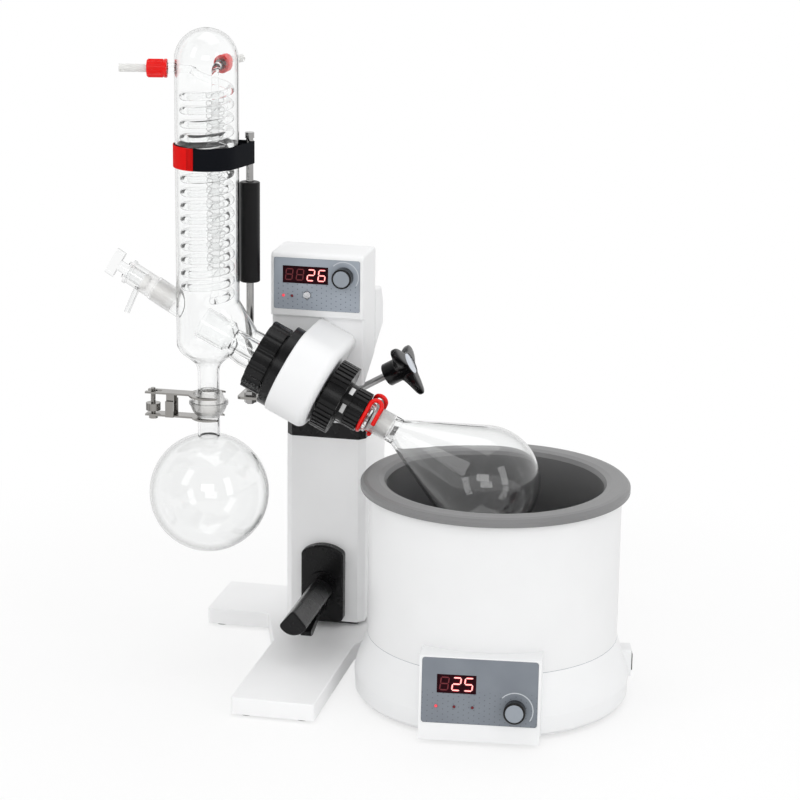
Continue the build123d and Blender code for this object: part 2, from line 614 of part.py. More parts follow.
# Drive housing: half-round front, block back to the head, tilt boss behind
with BuildPart() as drive_housing:
    with BuildSketch(DRIVE.offset(HOUSE_S0)):
        with BuildLine():
            ThreePointArc((0, HOUSE_R), (-HOUSE_R, 0), (0, -HOUSE_R))
            Polyline((0, -HOUSE_R), (HOUSE_BACK, -HOUSE_R), (HOUSE_BACK, HOUSE_R), (0, HOUSE_R))
        make_face()
    extrude(amount=HOUSE_S1 - HOUSE_S0)
    fillet(drive_housing.faces().sort_by(DRIVE_AXIS)[-1].edges().sort_by(Axis.Y)[:-1], 9)
    fillet(drive_housing.faces().sort_by(DRIVE_AXIS)[0].edges().sort_by(Axis.Y)[:-1], 2)
    with BuildSketch(DRIVE.offset(HOUSE_S0 + 3.5)):
        with BuildLine():
            ThreePointArc((0, HOUSE_R - 4), (4 - HOUSE_R, 0), (0, 4 - HOUSE_R))
            Polyline((0, 4 - HOUSE_R), (HOUSE_BACK - 4, 4 - HOUSE_R), (HOUSE_BACK - 4, HOUSE_R - 4),
                     (0, HOUSE_R - 4))
        make_face()
        fillet(vertices().sort_by(Axis.X)[-2:], 6)
    extrude(amount=HOUSE_S1 - HOUSE_S0 - 7, mode=Mode.SUBTRACT)
    tube(DRIVE.offset(11), BEARING_R + 1.8, BEARING_R, 9.5)
    disc(DRIVE.offset(HOUSE_S0 - 1), BEARING_R, 6, mode=Mode.SUBTRACT)
    disc(DRIVE.offset(18), HUB_R + 1, 10, mode=Mode.SUBTRACT)
    disc(front(AXIS_Y + HOUSE_BACK - 1), BOSS_R, -42, at=(PIVOT_X, PIVOT_Z))
    disc(front(AXIS_Y + HOUSE_BACK - 5), 10, -50, at=(PIVOT_X, PIVOT_Z), mode=Mode.SUBTRACT)
drive_housing.part.label = "drive_housing"
export_step(drive_housing.part, "parts/drive_housing.step")

with BuildPart() as housing_flange:
    tube(DRIVE.offset(FLANGE_S0), FLANGE_R, BEARING_R, HOUSE_S0 - FLANGE_S0)
    tube(DRIVE.offset(SPIGOT_S0), SPIGOT_R, BEARING_R, FLANGE_S0 - SPIGOT_S0)
housing_flange.part.label = "housing_flange"
export_step(housing_flange.part, "parts/housing_flange.step")

with BuildPart() as hub_bearings:
    tube(DRIVE.offset(FLANGE_S0 + 1), BEARING_R, HUB_R + RUN, 9)
    tube(DRIVE.offset(11.5), BEARING_R, HUB_R + RUN, 8.5)
hub_bearings.part.label = "hub_bearings"
export_step(hub_bearings.part, "parts/hub_bearings.step")

with BuildPart() as shaft_seal:
    tube(DRIVE.offset(SPIGOT_S0), BEARING_R, TUBE_R + RUN, 4)
    tube(DRIVE.offset(SPIGOT_S0 + 4), BEARING_R, BEARING_R - 3, 4)
shaft_seal.part.label = "shaft_seal"
export_step(shaft_seal.part, "parts/shaft_seal.step")

with BuildPart() as drive_motor:
    disc(DRIVE.offset(-7), 14, 27, at=(MOTOR_OFF, 0))
    disc(DRIVE.offset(-8), 5, 2, at=(MOTOR_OFF, 0))
drive_motor.part.label = "drive_motor"
export_step(drive_motor.part, "parts/drive_motor.step")

with BuildPart() as motor_pinion:
    toothed(DRIVE.offset(GEAR_S0), GEAR_M, PINION_N, 0, GEAR_T, at=(MOTOR_OFF, 0), start=18)
motor_pinion.part.label = "motor_pinion"
export_step(motor_pinion.part, "parts/motor_pinion.step")

with BuildPart() as drive_gear:
    toothed(DRIVE.offset(GEAR_S0), GEAR_M, GEAR_N, HUB_R, GEAR_T)
drive_gear.part.label = "drive_gear"
export_step(drive_gear.part, "parts/drive_gear.step")

# Hollow hub: shaft through the housing, windowed coupler and threaded nose
with BuildPart() as drive_hub:
    tube(DRIVE.offset(FLANGE_S0 - 1), HUB_R, TUBE_R, RING_S0 - FLANGE_S0 + 1)
    tube(DRIVE.offset(HOUSE_S1 + 1), COUPLER_R, TUBE_R, COUPLER_S1 - HOUSE_S1 - 1)
    tube(DRIVE.offset(COUPLER_S1), THREAD_R, TUBE_R, EJECT_S1 - 1 - COUPLER_S1)
    with BuildSketch(DRIVE.offset(RING_S1 + 2.5)):
        with PolarLocations(18.5, 6):
            Rectangle(10, 11)
    extrude(amount=5, mode=Mode.SUBTRACT)
drive_hub.part.label = "drive_hub"
export_step(drive_hub.part, "parts/drive_hub.step")

with BuildPart() as lock_ring:
    ribbed(DRIVE.offset(RING_S0), RING_R, COUPLER_R, 40, 2.6, 1.6, RING_S1 - RING_S0)
lock_ring.part.label = "lock_ring"
export_step(lock_ring.part, "parts/lock_ring.step")

with BuildPart() as ejector_nut:
    ribbed(DRIVE.offset(COUPLER_S1 + SLIDE), COUPLER_R, THREAD_R + RUN, 24, 2.2, 1.3,
           EJECT_S1 - COUPLER_S1 - SLIDE)
ejector_nut.part.label = "ejector_nut"
export_step(ejector_nut.part, "parts/ejector_nut.step")

# Union nut that holds the condenser's side arm
with BuildPart() as condenser_nut:
    with BuildSketch(DRIVE.offset(NUT_S0)):
        Circle(NUT_R)
        with PolarLocations(NUT_R + 5.2, 14):
            Circle(7, mode=Mode.SUBTRACT)
    extrude(amount=NUT_S1 - NUT_S0)
    disc(DRIVE.offset(NUT_S0 - 1), ARM_R + 1.2, 10, mode=Mode.SUBTRACT)
    disc(DRIVE.offset(NUT_S0 + 5), SPIGOT_R + RUN, 30, mode=Mode.SUBTRACT)
condenser_nut.part.label = "condenser_nut"
export_step(condenser_nut.part, "parts/condenser_nut.step")

# Vapour tube: wide end in the condenser, ground cone in the flask
with BuildPart() as vapour_tube:
    turn([(-127.6, 14.8), (-127.6, 17), (-95, 17), (-89, TUBE_R), (MOUTH_S - 3.5, TUBE_R),
          (MOUTH_S - 3, 16.5), (MOUTH_S - 0.5, 16.5), (MOUTH_S, TUBE_R - 0.1), (NECK_S1 - 9, 10.6),
          (NECK_S1 - 9, TUBE_BORE),
          (-88, TUBE_BORE), (-95, 14.8)], DRIVE_SIDE, DRIVE_AXIS)
vapour_tube.part.label = "vapour_tube"
export_step(vapour_tube.part, "parts/vapour_tube.step")

# Pear-shaped evaporating flask
TAN_S = BULB_S - BULB_R * sin(radians(CONE))
TAN_R = BULB_R * cos(radians(CONE))
INNER = BULB_R - GLASS
TAN_SI = BULB_S - INNER * sin(radians(CONE))
TAN_RI = INNER * cos(radians(CONE))
with BuildPart() as evaporating_flask:
    with BuildSketch(DRIVE_SIDE):
        with BuildLine():
            Polyline((MOUTH_S + 0.3, TUBE_R), (MOUTH_S + 0.3, 18), (MOUTH_S + 5, 18), (MOUTH_S + 6.5, NECK_R),
                     (NECK_S1, NECK_R), (TAN_S, TAN_R))
            ThreePointArc((TAN_S, TAN_R), ray(BULB_S, 0, BULB_R, 60), (BULB_S + BULB_R, 0))
            Line((BULB_S + BULB_R, 0), (BULB_S + INNER, 0))
            ThreePointArc((BULB_S + INNER, 0), ray(BULB_S, 0, INNER, 60), (TAN_SI, TAN_RI))
            Polyline((TAN_SI, TAN_RI), (NECK_S1 + 1, NECK_R - 2.6), (NECK_S1 - 8, 10.6),
                     (MOUTH_S + 0.3, TUBE_R))
        make_face()
    revolve(axis=DRIVE_AXIS)
evaporating_flask.part.label = "evaporating_flask"
export_step(evaporating_flask.part, "parts/evaporating_flask.step")

# Sprung clip over the two glass flanges at the flask's mouth
with BuildPart() as joint_clip:
    tube(DRIVE.offset(MOUTH_S - 3), 20.5, 16.5, 2.6)
    tube(DRIVE.offset(MOUTH_S - 0.4), 20.5, 18, 7.4)
    tube(DRIVE.offset(MOUTH_S + 7), 20.5, NECK_R, 3)
    with BuildSketch(DRIVE.offset(MOUTH_S - 5)):
        with Locations((0, -20)):
            Rectangle(22, 40)
    extrude(amount=20, mode=Mode.SUBTRACT)
    with BuildSketch(DRIVE.offset(MOUTH_S + 0.5)):
        with PolarLocations(19, 5, start_angle=-10, angular_range=220):
            Rectangle(9, 7)
    extrude(amount=5, mode=Mode.SUBTRACT)
joint_clip.part.label = "joint_clip"
export_step(joint_clip.part, "parts/joint_clip.step")

# Condenser jacket: domed tube, drip cone, ball, side arm, feed socket and two hose bosses
BORE = COND_R - GLASS
BALL_TOP = BALL_Z + sqrt(BALL_R ** 2 - STEM_R ** 2)
BALL_LOW = BALL_Z - sqrt(BALL_R ** 2 - 100)


def arm_root(inset, mode=Mode.ADD):
    """Widening end of the side arm, raised towards the condenser's axis."""
    with BuildSketch(DRIVE.offset(ROOT_S)) as narrow:
        Circle(ARM_R - inset)
    with BuildSketch(DRIVE.offset(ROOT_END_S)) as wide:
        with Locations((0, ROOT_RISE)):
            Circle(ROOT_R - inset)
    loft([narrow.sketch, wide.sketch], mode=mode)


with BuildPart() as condenser_shell:
    with BuildSketch(COND_SIDE):
        with BuildLine():
            Line((0, BALL_LOW), (0, COND_TOP))
            ThreePointArc((0, COND_TOP), ray(0, COND_TOP - COND_R, COND_R, 45), (COND_R, COND_TOP - COND_R))
            Line((COND_R, COND_TOP - COND_R), (COND_R, TAPER_Z1))
            Spline((COND_R, TAPER_Z1), (STEM_R, TAPER_Z0), tangents=[(0, -1), (0, -1)])
            Line((STEM_R, TAPER_Z0), (STEM_R, BALL_TOP))
            ThreePointArc((STEM_R, BALL_TOP), (BALL_R, BALL_Z), (10, BALL_LOW))
            Line((10, BALL_LOW), (0, BALL_LOW))
        make_face()
    revolve(axis=COND_AXIS)
    turn([(ARM_S1, 0), (ARM_S1, 28.5), (ARM_S1 - 4, 28.5), (ARM_S1 - 6, ARM_R), (ROOT_S, ARM_R), (ROOT_S, 0)],
         DRIVE_SIDE, DRIVE_AXIS)
    arm_root(0)
    disc(FEED.offset(20), 13.5, 50)
    disc(NOZZLE_LEFT.offset(25), 5.5, 27)
    disc(NOZZLE_REAR.offset(25), 5.5, 27)
    with BuildSketch(COND_SIDE):
        with BuildLine():
            Line((0, BALL_LOW - 1), (0, COND_TOP - GLASS))
            ThreePointArc((0, COND_TOP - GLASS), ray(0, COND_TOP - COND_R, BORE, 45),
                          (BORE, COND_TOP - COND_R))
            Line((BORE, COND_TOP - COND_R), (BORE, TAPER_Z1 + 1))
            Spline((BORE, TAPER_Z1 + 1), (STEM_R - GLASS, TAPER_Z0 + 1), tangents=[(0, -1), (0, -1)])
            Polyline((STEM_R - GLASS, TAPER_Z0 + 1), (STEM_R - GLASS, BALL_LOW - 1), (0, BALL_LOW - 1))
        make_face()
    revolve(axis=COND_AXIS, mode=Mode.SUBTRACT)
    turn([(ARM_S1 + 1, 0), (ARM_S1 + 1, ARM_R - GLASS), (ROOT_S, ARM_R - GLASS), (ROOT_S, 0)],
         DRIVE_SIDE, DRIVE_AXIS, mode=Mode.SUBTRACT)
    arm_root(GLASS, Mode.SUBTRACT)
    disc(FEED.offset(20), 11, 60, mode=Mode.SUBTRACT)
    disc(NOZZLE_LEFT.offset(25), 3.3, 30, mode=Mode.SUBTRACT)
    disc(NOZZLE_REAR.offset(25), 3.3, 30, mode=Mode.SUBTRACT)
condenser_shell.part.label = "condenser_shell"
export_step(condenser_shell.part, "parts/condenser_shell.step")

# Cooling coil: one swept helix with its two ends led to the hose bosses
COIL_TOP = COIL_Z0 + COIL_PITCH * COIL_TURNS
COIL_RISE = COIL_PITCH / (2 * pi * COIL_R)


def spot(x, y, z):
    """A point given from the condenser's own axis."""
    return (COND_X + x, AXIS_Y + y, z)


def led(points, first, last):
    """A length of coil tube through the points, with its first and last directions."""
    with BuildLine() as way:
        Spline(*[spot(*point) for point in points], tangents=(first, last))
    with BuildSketch(Plane(origin=way.line @ 0, z_dir=way.line % 0)) as section:
        Circle(COIL_TUBE)
    sweep(section.sketch, path=way.line)


with BuildPart() as condenser_coil:
    with BuildLine() as coil_path:
        Helix(pitch=COIL_PITCH, height=COIL_PITCH * COIL_TURNS, radius=COIL_R,
              center=(COND_X, AXIS_Y, COIL_Z0))
    with BuildSketch(Plane(origin=coil_path.line @ 0, z_dir=coil_path.line % 0)):
        Circle(COIL_TUBE)
    sweep(path=coil_path.line, is_frenet=True)
    led([(COIL_R, 0, COIL_TOP), (2, 18, COIL_TOP + 8), (-14, 6, COIL_TOP + 17), (-35.2, -7.45, NOZZLE_Z)],
        (0, 1, COIL_RISE), (-0.978, -0.207, 0))
    led([(COIL_R, 0, COIL_Z0), (11, -13, COIL_Z0 - 5), (RETURN_X, RETURN_Y, COIL_Z0 + 20)],
        (0, -1, -COIL_RISE), (0, 0, 1))
    disc(level(COIL_Z0 + 20), COIL_TUBE, COIL_TOP - COIL_Z0 - 17, at=(COND_X + RETURN_X, AXIS_Y + RETURN_Y))
    led([(RETURN_X, RETURN_Y, COIL_TOP + 3), (5.04, 35.64, NOZZLE_Z)], (0, 0, 1), (0.14, 0.99, 0))
    with BuildSketch(Plane.XY.offset(COIL_TOP)) as jacket:
        with Locations((COND_X, AXIS_Y)):
            Circle(BORE + 15)
            Circle(BORE, mode=Mode.SUBTRACT)
    extrude(jacket.sketch, amount=40, mode=Mode.SUBTRACT)
condenser_coil.part.label = "condenser_coil"
export_step(condenser_coil.part, "parts/condenser_coil.step")

with BuildPart() as nozzle_caps:
    for bearing in (NOZZLE_LEFT, NOZZLE_REAR):
        disc(bearing.offset(41), 10, 22)
        disc(bearing.offset(40), 5.5, 14, mode=Mode.SUBTRACT)
        disc(bearing.offset(53), 7, 6, mode=Mode.SUBTRACT)
        disc(bearing.offset(58), 4, 10, mode=Mode.SUBTRACT)
nozzle_caps.part.label = "nozzle_caps"
export_step(nozzle_caps.part, "parts/nozzle_caps.step")

with BuildPart() as hose_nozzles:
    for bearing in (NOZZLE_LEFT, NOZZLE_REAR):
        disc(bearing.offset(53), 7, 5)
        disc(bearing.offset(58), 4, 6)
        disc(bearing.offset(63.2), 4.25, 28.8)
        disc(bearing.offset(52), 2.8, 60, mode=Mode.SUBTRACT)
hose_nozzles.part.label = "hose_nozzles"
export_step(hose_nozzles.part, "parts/hose_nozzles.step")

# Feed adaptor with its side barb, and the stopper key that turns in it
BARB = Plane(origin=(COND_X - 87 * FEED_C, AXIS_Y, FEED_Z + 87 * FEED_S), x_dir=(0, 1, 0),
             z_dir=(-0.41, 0, -0.912))
with BuildPart() as feed_adaptor:
    disc(FEED.offset(44), 10.9, 27)
    disc(FEED.offset(70), 12.5, 33)
    disc(FEED.offset(100), 14, 3)
    disc(BARB, 3.2, 41)
    disc(FEED.offset(43), 8, 70, mode=Mode.SUBTRACT)
    disc(BARB, 1.8, 42, mode=Mode.SUBTRACT)
feed_adaptor.part.label = "feed_adaptor"
export_step(feed_adaptor.part, "parts/feed_adaptor.step")

with BuildPart() as feed_stopper:
    disc(FEED.offset(78), 8 - RUN, 26)
    disc(FEED.offset(103.4), 10, 3)
    disc(FEED.offset(104), 6, 12)
    slab(FEED.offset(115), 9, 31, 10.5, corner=4)
feed_stopper.part.label = "feed_stopper"
export_step(feed_stopper.part, "parts/feed_stopper.step")

# Receiving flask with its spherical cup
CUP_IN = BALL_R + 0.1
MOUTH_R = 12.0
MOUTH_BORE = MOUTH_R - GLASS
CUP_LOW = BALL_Z - sqrt(CUP_R ** 2 - MOUTH_R ** 2)
IN_R = RECEIVER_R - GLASS
MOUTH_Z = RECEIVER_Z + sqrt(RECEIVER_R ** 2 - MOUTH_R ** 2)
BORE_LOW = RECEIVER_Z + sqrt(IN_R ** 2 - MOUTH_BORE ** 2)
BORE_HIGH = BALL_Z - sqrt(CUP_IN ** 2 - MOUTH_BORE ** 2)
with BuildPart() as receiving_flask:
    with BuildSketch(COND_SIDE):
        with BuildLine():
            Polyline((CUP_IN, BALL_Z), (21.3, BALL_Z), (21.3, BALL_Z - 2.6), ray(0, BALL_Z, CUP_R, -9))
            ThreePointArc(ray(0, BALL_Z, CUP_R, -9), ray(0, BALL_Z, CUP_R, -32), (MOUTH_R, CUP_LOW))
            Line((MOUTH_R, CUP_LOW), (MOUTH_R, MOUTH_Z))
            ThreePointArc((MOUTH_R, MOUTH_Z), (RECEIVER_R, RECEIVER_Z), (0, RECEIVER_Z - RECEIVER_R))
            Line((0, RECEIVER_Z - RECEIVER_R), (0, RECEIVER_Z - IN_R))
            ThreePointArc((0, RECEIVER_Z - IN_R), (IN_R, RECEIVER_Z), (MOUTH_BORE, BORE_LOW))
            Line((MOUTH_BORE, BORE_LOW), (MOUTH_BORE, BORE_HIGH))
            ThreePointArc((MOUTH_BORE, BORE_HIGH), ray(0, BALL_Z, CUP_IN, -25), (CUP_IN, BALL_Z))
        make_face()
    revolve(axis=COND_AXIS)
receiving_flask.part.label = "receiving_flask"
export_step(receiving_flask.part, "parts/receiving_flask.step")

# Fork clamp across the spherical joint
with BuildPart() as clamp_lower_jaw:
    with BuildSketch(level(CLAMP_LOW_Z)):
        with Locations(((CLAMP_SCREW_X - 7 + COND_X - 8) / 2, AXIS_Y)):
            Rectangle(COND_X - CLAMP_SCREW_X - 1, 16)
        with Locations((COND_X, AXIS_Y)):
            Circle(19)
            Circle(12.4, mode=Mode.SUBTRACT)
        with Locations((COND_X + 15, AXIS_Y)):
            Rectangle(30, 24.8, mode=Mode.SUBTRACT)
    extrude(amount=CLAMP_T)
    for ear_y in (AXIS_Y - 10, AXIS_Y + 8):
        slab(front(ear_y + 2), 9, 18, 2, at=(CLAMP_PIVOT_X, CLAMP_LOW_Z + 9))
    disc(level(CLAMP_LOW_Z - 4), 2.5, 34, at=(CLAMP_SCREW_X, AXIS_Y))
    disc(level(CLAMP_LOW_Z - 4), 5, 4, at=(CLAMP_SCREW_X, AXIS_Y))
    disc(front(AXIS_Y + 10), 2, 20, at=(CLAMP_PIVOT_X, CLAMP_PIVOT_Z))
clamp_lower_jaw.part.label = "clamp_lower_jaw"
export_step(clamp_lower_jaw.part, "parts/clamp_lower_jaw.step")

with BuildPart() as clamp_upper_jaw:
    with BuildSketch(level(CLAMP_TOP_Z)):
        with Locations(((CLAMP_SCREW_X - 7 + COND_X - 12) / 2, AXIS_Y)):
            Rectangle(COND_X - CLAMP_SCREW_X - 5, 16)
        with Locations((COND_X, AXIS_Y)):
            Circle(22)
            Circle(16.7, mode=Mode.SUBTRACT)
        with Locations((COND_X + 16, AXIS_Y)):
            Rectangle(32, 33.4, mode=Mode.SUBTRACT)
        with Locations((CLAMP_SCREW_X - 1, AXIS_Y)):
            Rectangle(22, 7, mode=Mode.SUBTRACT)
    extrude(amount=CLAMP_T)
    for ear_y in (AXIS_Y - 7.6, AXIS_Y + 5.6):
        slab(front(ear_y + 2), 8, 21.6, 2, at=(CLAMP_PIVOT_X, CLAMP_TOP_Z - 9.3))
    disc(front(AXIS_Y + 12), 2 + RUN, 24, at=(CLAMP_PIVOT_X, CLAMP_PIVOT_Z), mode=Mode.SUBTRACT)
clamp_upper_jaw.part.label = "clamp_upper_jaw"
export_step(clamp_upper_jaw.part, "parts/clamp_upper_jaw.step")

with BuildPart() as clamp_nut:
    ribbed(Plane(origin=(CLAMP_SCREW_X, AXIS_Y, CLAMP_LOW_Z + CLAMP_T + 3)), 8, 2.5 + RUN, 24, 1, 0.6, 8)
clamp_nut.part.label = "clamp_nut"
export_step(clamp_nut.part, "parts/clamp_nut.step")

# Support rod with its nuts, bracket, pad and strap
with BuildPart() as support_rod:
    disc(level(ROD_Z0), ROD_R, ROD_Z1 - ROD_Z0, at=(ROD_X, ROD_Y))
    disc(level(ROD_Z1 - 6), ROD_R + 1, 6, at=(ROD_X, ROD_Y))
    for nut_z in (BRACKET_Z - 5, BRACKET_Z + BRACKET_T):
        with BuildSketch(level(nut_z)):
            with Locations((ROD_X, ROD_Y)):
                RegularPolygon(7, 6)
        extrude(amount=5)
support_rod.part.label = "support_rod"
export_step(support_rod.part, "parts/support_rod.step")

with BuildPart() as rod_bracket:
    slab(level(BRACKET_Z), 40, 46, BRACKET_T, at=(ROD_X + 7.5, ROD_Y + 12.5), corner=4)
    slab(DRIVE.offset(HOUSE_S0 - 3), 18, 42, 3, at=(HOUSE_BACK - 11, -27))
    disc(level(BRACKET_Z - 1), ROD_R, 6, at=(ROD_X, ROD_Y), mode=Mode.SUBTRACT)
rod_bracket.part.label = "rod_bracket"
export_step(rod_bracket.part, "parts/rod_bracket.step")

REACH = sqrt((ROD_X - COND_X) ** 2 + (ROD_Y - AXIS_Y) ** 2)
TO_X = (COND_X - ROD_X) / REACH
TO_Y = (AXIS_Y - ROD_Y) / REACH
with BuildPart() as support_pad:
    with BuildSketch(level(PAD_Z0)):
        with Locations((ROD_X, ROD_Y)):
            Circle(PAD_R)
        with BuildLine():
            Polyline((ROD_X - PAD_R * TO_Y, ROD_Y + PAD_R * TO_X),
                     (ROD_X + 22 * TO_X - PAD_R * TO_Y, ROD_Y + 22 * TO_Y + PAD_R * TO_X),
                     (ROD_X + 22 * TO_X + PAD_R * TO_Y, ROD_Y + 22 * TO_Y - PAD_R * TO_X),
                     (ROD_X + PAD_R * TO_Y, ROD_Y - PAD_R * TO_X), close=True)
        make_face()
        with Locations((COND_X, AXIS_Y)):
            Circle(COND_R + 0.05, mode=Mode.SUBTRACT)
        with Locations((ROD_X, ROD_Y)):
            Circle(ROD_R, mode=Mode.SUBTRACT)
    extrude(amount=PAD_Z1 - PAD_Z0)
support_pad.part.label = "support_pad"
export_step(support_pad.part, "parts/support_pad.step")


def loop_points(big, small):
    """Tangent points of a band round the condenser and the rod."""
    turn_by = (big - small) / REACH
    along = sqrt(1 - turn_by ** 2)
    ux = -TO_X
    uy = -TO_Y
    points = []
    for sign in (1, -1):
        nx = ux * turn_by - sign * uy * along
        ny = uy * turn_by + sign * ux * along
        points.append((COND_X + big * nx, AXIS_Y + big * ny))
        points.append((ROD_X + small * nx, ROD_Y + small * ny))
    return points


with BuildPart() as condenser_strap:
    for grow, mode in ((2.0, Mode.ADD), (0.0, Mode.SUBTRACT)):
        big = COND_R + 0.05 + grow
        small = ROD_R + 0.05 + grow
        upper_big, upper_small, lower_big, lower_small = loop_points(big, small)
        with BuildSketch(level(STRAP_Z0 - (0 if grow else 1))) as band:
            with BuildLine():
                Line(upper_big, upper_small)
                ThreePointArc(upper_small, (ROD_X - small * TO_X, ROD_Y - small * TO_Y), lower_small)
                Line(lower_small, lower_big)
                ThreePointArc(lower_big, (COND_X + big * TO_X, AXIS_Y + big * TO_Y), upper_big)
            make_face()
        extrude(amount=STRAP_W + (0 if grow else 2), mode=mode)
condenser_strap.part.label = "condenser_strap"
export_step(condenser_strap.part, "parts/condenser_strap.step")

# Heating bath
with BuildPart() as bath_pot:
    turn([(0, POT_FLOOR_Z), (POT_R - 17.3, POT_FLOOR_Z), (POT_R, POT_FLOOR_Z + 18),
          (POT_R + POT_T, BATH_TOP_Z - 5), (POT_R + 4.7, BATH_TOP_Z), (RIM_R - 4, BATH_TOP_Z),
          (RIM_R - POT_T, BATH_TOP_Z - 3), (RIM_R - POT_T, BATH_TOP_Z - 7), (RIM_R, BATH_TOP_Z - 7),
          (RIM_R, BATH_TOP_Z - 2), (RIM_R - 3, BATH_TOP_Z + 1.2), (RIM_R - 7, BATH_TOP_Z + 2),
          (POT_R + 8.7, BATH_TOP_Z + 2), (POT_R + 2.7, BATH_TOP_Z + 0.5), (POT_R, BATH_TOP_Z - 4),
          (POT_R - POT_T, POT_FLOOR_Z + 18.5), (POT_R - 17.9, POT_FLOOR_Z + POT_T), (0, POT_FLOOR_Z + POT_T)],
         BATH_SIDE, BATH_AXIS)
bath_pot.part.label = "bath_pot"
export_step(bath_pot.part, "parts/bath_pot.step")

with BuildPart() as bath_shell:
    turn([(BATH_R - 2.5, BATH_SEAM_Z), (BATH_R, BATH_SEAM_Z), (BATH_R, BATH_TOP_Z),
          (BATH_R - 2.5, BATH_TOP_Z)], BATH_SIDE, BATH_AXIS)
bath_shell.part.label = "bath_shell"
export_step(bath_shell.part, "parts/bath_shell.step")

# Flared lower shell, with the control block on its front and the switch bezel on its right
SWITCH_AZ = 12.0
SWITCH = Plane(origin=(BATH_X, BATH_Y, 38), x_dir=(-sin(radians(SWITCH_AZ)), cos(radians(SWITCH_AZ)), 0),
               z_dir=(cos(radians(SWITCH_AZ)), sin(radians(SWITCH_AZ)), 0))
with BuildPart() as bath_base_shell:
    with BuildSketch(BATH_SIDE):
        with BuildLine():
            Spline((BATH_R, BATH_SEAM_Z), (BATH_R + 5.5, BATH_SEAM_Z - 18), (BATH_FLARE_R, BATH_FLARE_Z),
                   tangents=[(0.25, -1), (0.1, -1)])
            Polyline((BATH_FLARE_R, BATH_FLARE_Z), (BATH_FLARE_R - 1, 8), (BATH_FLARE_R - 4, BATH_FOOT_H),
                     (0, BATH_FOOT_H), (0, BATH_SEAM_Z), (BATH_R, BATH_SEAM_Z))
        make_face()
    revolve(axis=BATH_AXIS)
    prism(PANEL_SIDE.offset(-BLOCK_W / 2),
          [(BATH_R - 15.5, BATH_FOOT_H + 1),
           (PANEL_DIST + (PANEL_Z - BATH_FOOT_H - 1) * tan(radians(PANEL_TILT)), BATH_FOOT_H + 1),
           (PANEL_DIST - (BLOCK_TOP - PANEL_Z) * tan(radians(PANEL_TILT)), BLOCK_TOP),
           (BATH_R - 15.5, BLOCK_TOP)], BLOCK_W)
    slab(SWITCH.offset(BATH_R), 26, 30, BATH_FLARE + 2.5, corner=2)
    turn([(0, 0), (BATH_FLARE_R - 6.6, 0), (BATH_FLARE_R - 4, 10), (BATH_FLARE_R - 3, BATH_FLARE_Z),
          (BATH_R + 2.5, BATH_SEAM_Z - 18), (BATH_R - 2.5, BATH_SEAM_Z), (BATH_R - 2.5, BATH_SEAM_Z + 1),
          (0, BATH_SEAM_Z + 1)],
         BATH_SIDE, BATH_AXIS, mode=Mode.SUBTRACT)
    disc(Plane(origin=(BATH_X, BATH_Y, BATH_SEAM_Z)), BATH_R, 60, mode=Mode.SUBTRACT)
    slab(PANEL, PANEL_W, PANEL_H, -2.2, corner=3, mode=Mode.SUBTRACT)
    slab(PANEL, PANEL_W - 12, PANEL_H - 12, -40, mode=Mode.SUBTRACT)
    slab(SWITCH.offset(BATH_FLARE_R - 7), 18, 22, 12, mode=Mode.SUBTRACT)
bath_base_shell.part.label = "bath_base_shell"
export_step(bath_base_shell.part, "parts/bath_base_shell.step")

BATH_KNOB_U = 37.1
BATH_KNOB_V = -17.5
with BuildPart() as bath_panel:
    slab(PANEL.offset(-2.2), PANEL_W - 0.4, PANEL_H - 0.4, 2.2, corner=3)
    slab(PANEL.offset(-3), 41, 20, 6, at=(-24.1, 7.4), mode=Mode.SUBTRACT)
    disc(PANEL.offset(-3), SHAFT_R + RUN, 6, at=(BATH_KNOB_U, BATH_KNOB_V), mode=Mode.SUBTRACT)
    for led_u in (-44.9, -26, -7):
        disc(PANEL, 1.6, 0.6, at=(led_u, -16.6))
bath_panel.part.label = "bath_panel"
export_step(bath_panel.part, "parts/bath_panel.step")

with BuildPart() as bath_display:
    slab(PANEL.offset(-6), 40.6, 19.6, 5.5, at=(-24.1, 7.4))
    slab(PANEL.offset(-7.5), PANEL_W - 13, PANEL_H - 13, 1.6)
    disc(PANEL.offset(-8), SHAFT_R + RUN, 4, at=(BATH_KNOB_U, BATH_KNOB_V), mode=Mode.SUBTRACT)
bath_display.part.label = "bath_display"
export_step(bath_display.part, "parts/bath_display.step")

with BuildPart() as bath_knob:
    disc(PANEL.offset(0.5), 11.5, 12, at=(BATH_KNOB_U, BATH_KNOB_V))
    fillet(bath_knob.faces().sort_by(Axis.Y)[0].edges(), 1.2)
    disc(PANEL.offset(-7), SHAFT_R, 8, at=(BATH_KNOB_U, BATH_KNOB_V))
bath_knob.part.label = "bath_knob"
export_step(bath_knob.part, "parts/bath_knob.step")

ROCKER = SWITCH.offset(BATH_FLARE_R - 4.5)
with BuildPart() as bath_switch:
    slab(ROCKER, 16.8, 18.4, 8.5, corner=1)
    disc(Plane(origin=ROCKER.origin - ROCKER.x_dir * 8.4, x_dir=ROCKER.z_dir, z_dir=ROCKER.x_dir), 1.8, 16.8)
bath_switch.part.label = "bath_switch"
export_step(bath_switch.part, "parts/bath_switch.step")

# Heater ring pressed under the pot's floor, and the closing floor plate
with BuildPart() as bath_heater:
    turn([(62, POT_FLOOR_Z - 8), (90, POT_FLOOR_Z - 8), (90, POT_FLOOR_Z), (62, POT_FLOOR_Z)],
         BATH_SIDE, BATH_AXIS)
    for bearing in (45, 165, 285):
        disc(level(BATH_FOOT_H + 2.5), 4, POT_FLOOR_Z - 8 - BATH_FOOT_H - 2.5,
             at=ray(BATH_X, BATH_Y, 76, bearing))
bath_heater.part.label = "bath_heater"
export_step(bath_heater.part, "parts/bath_heater.step")

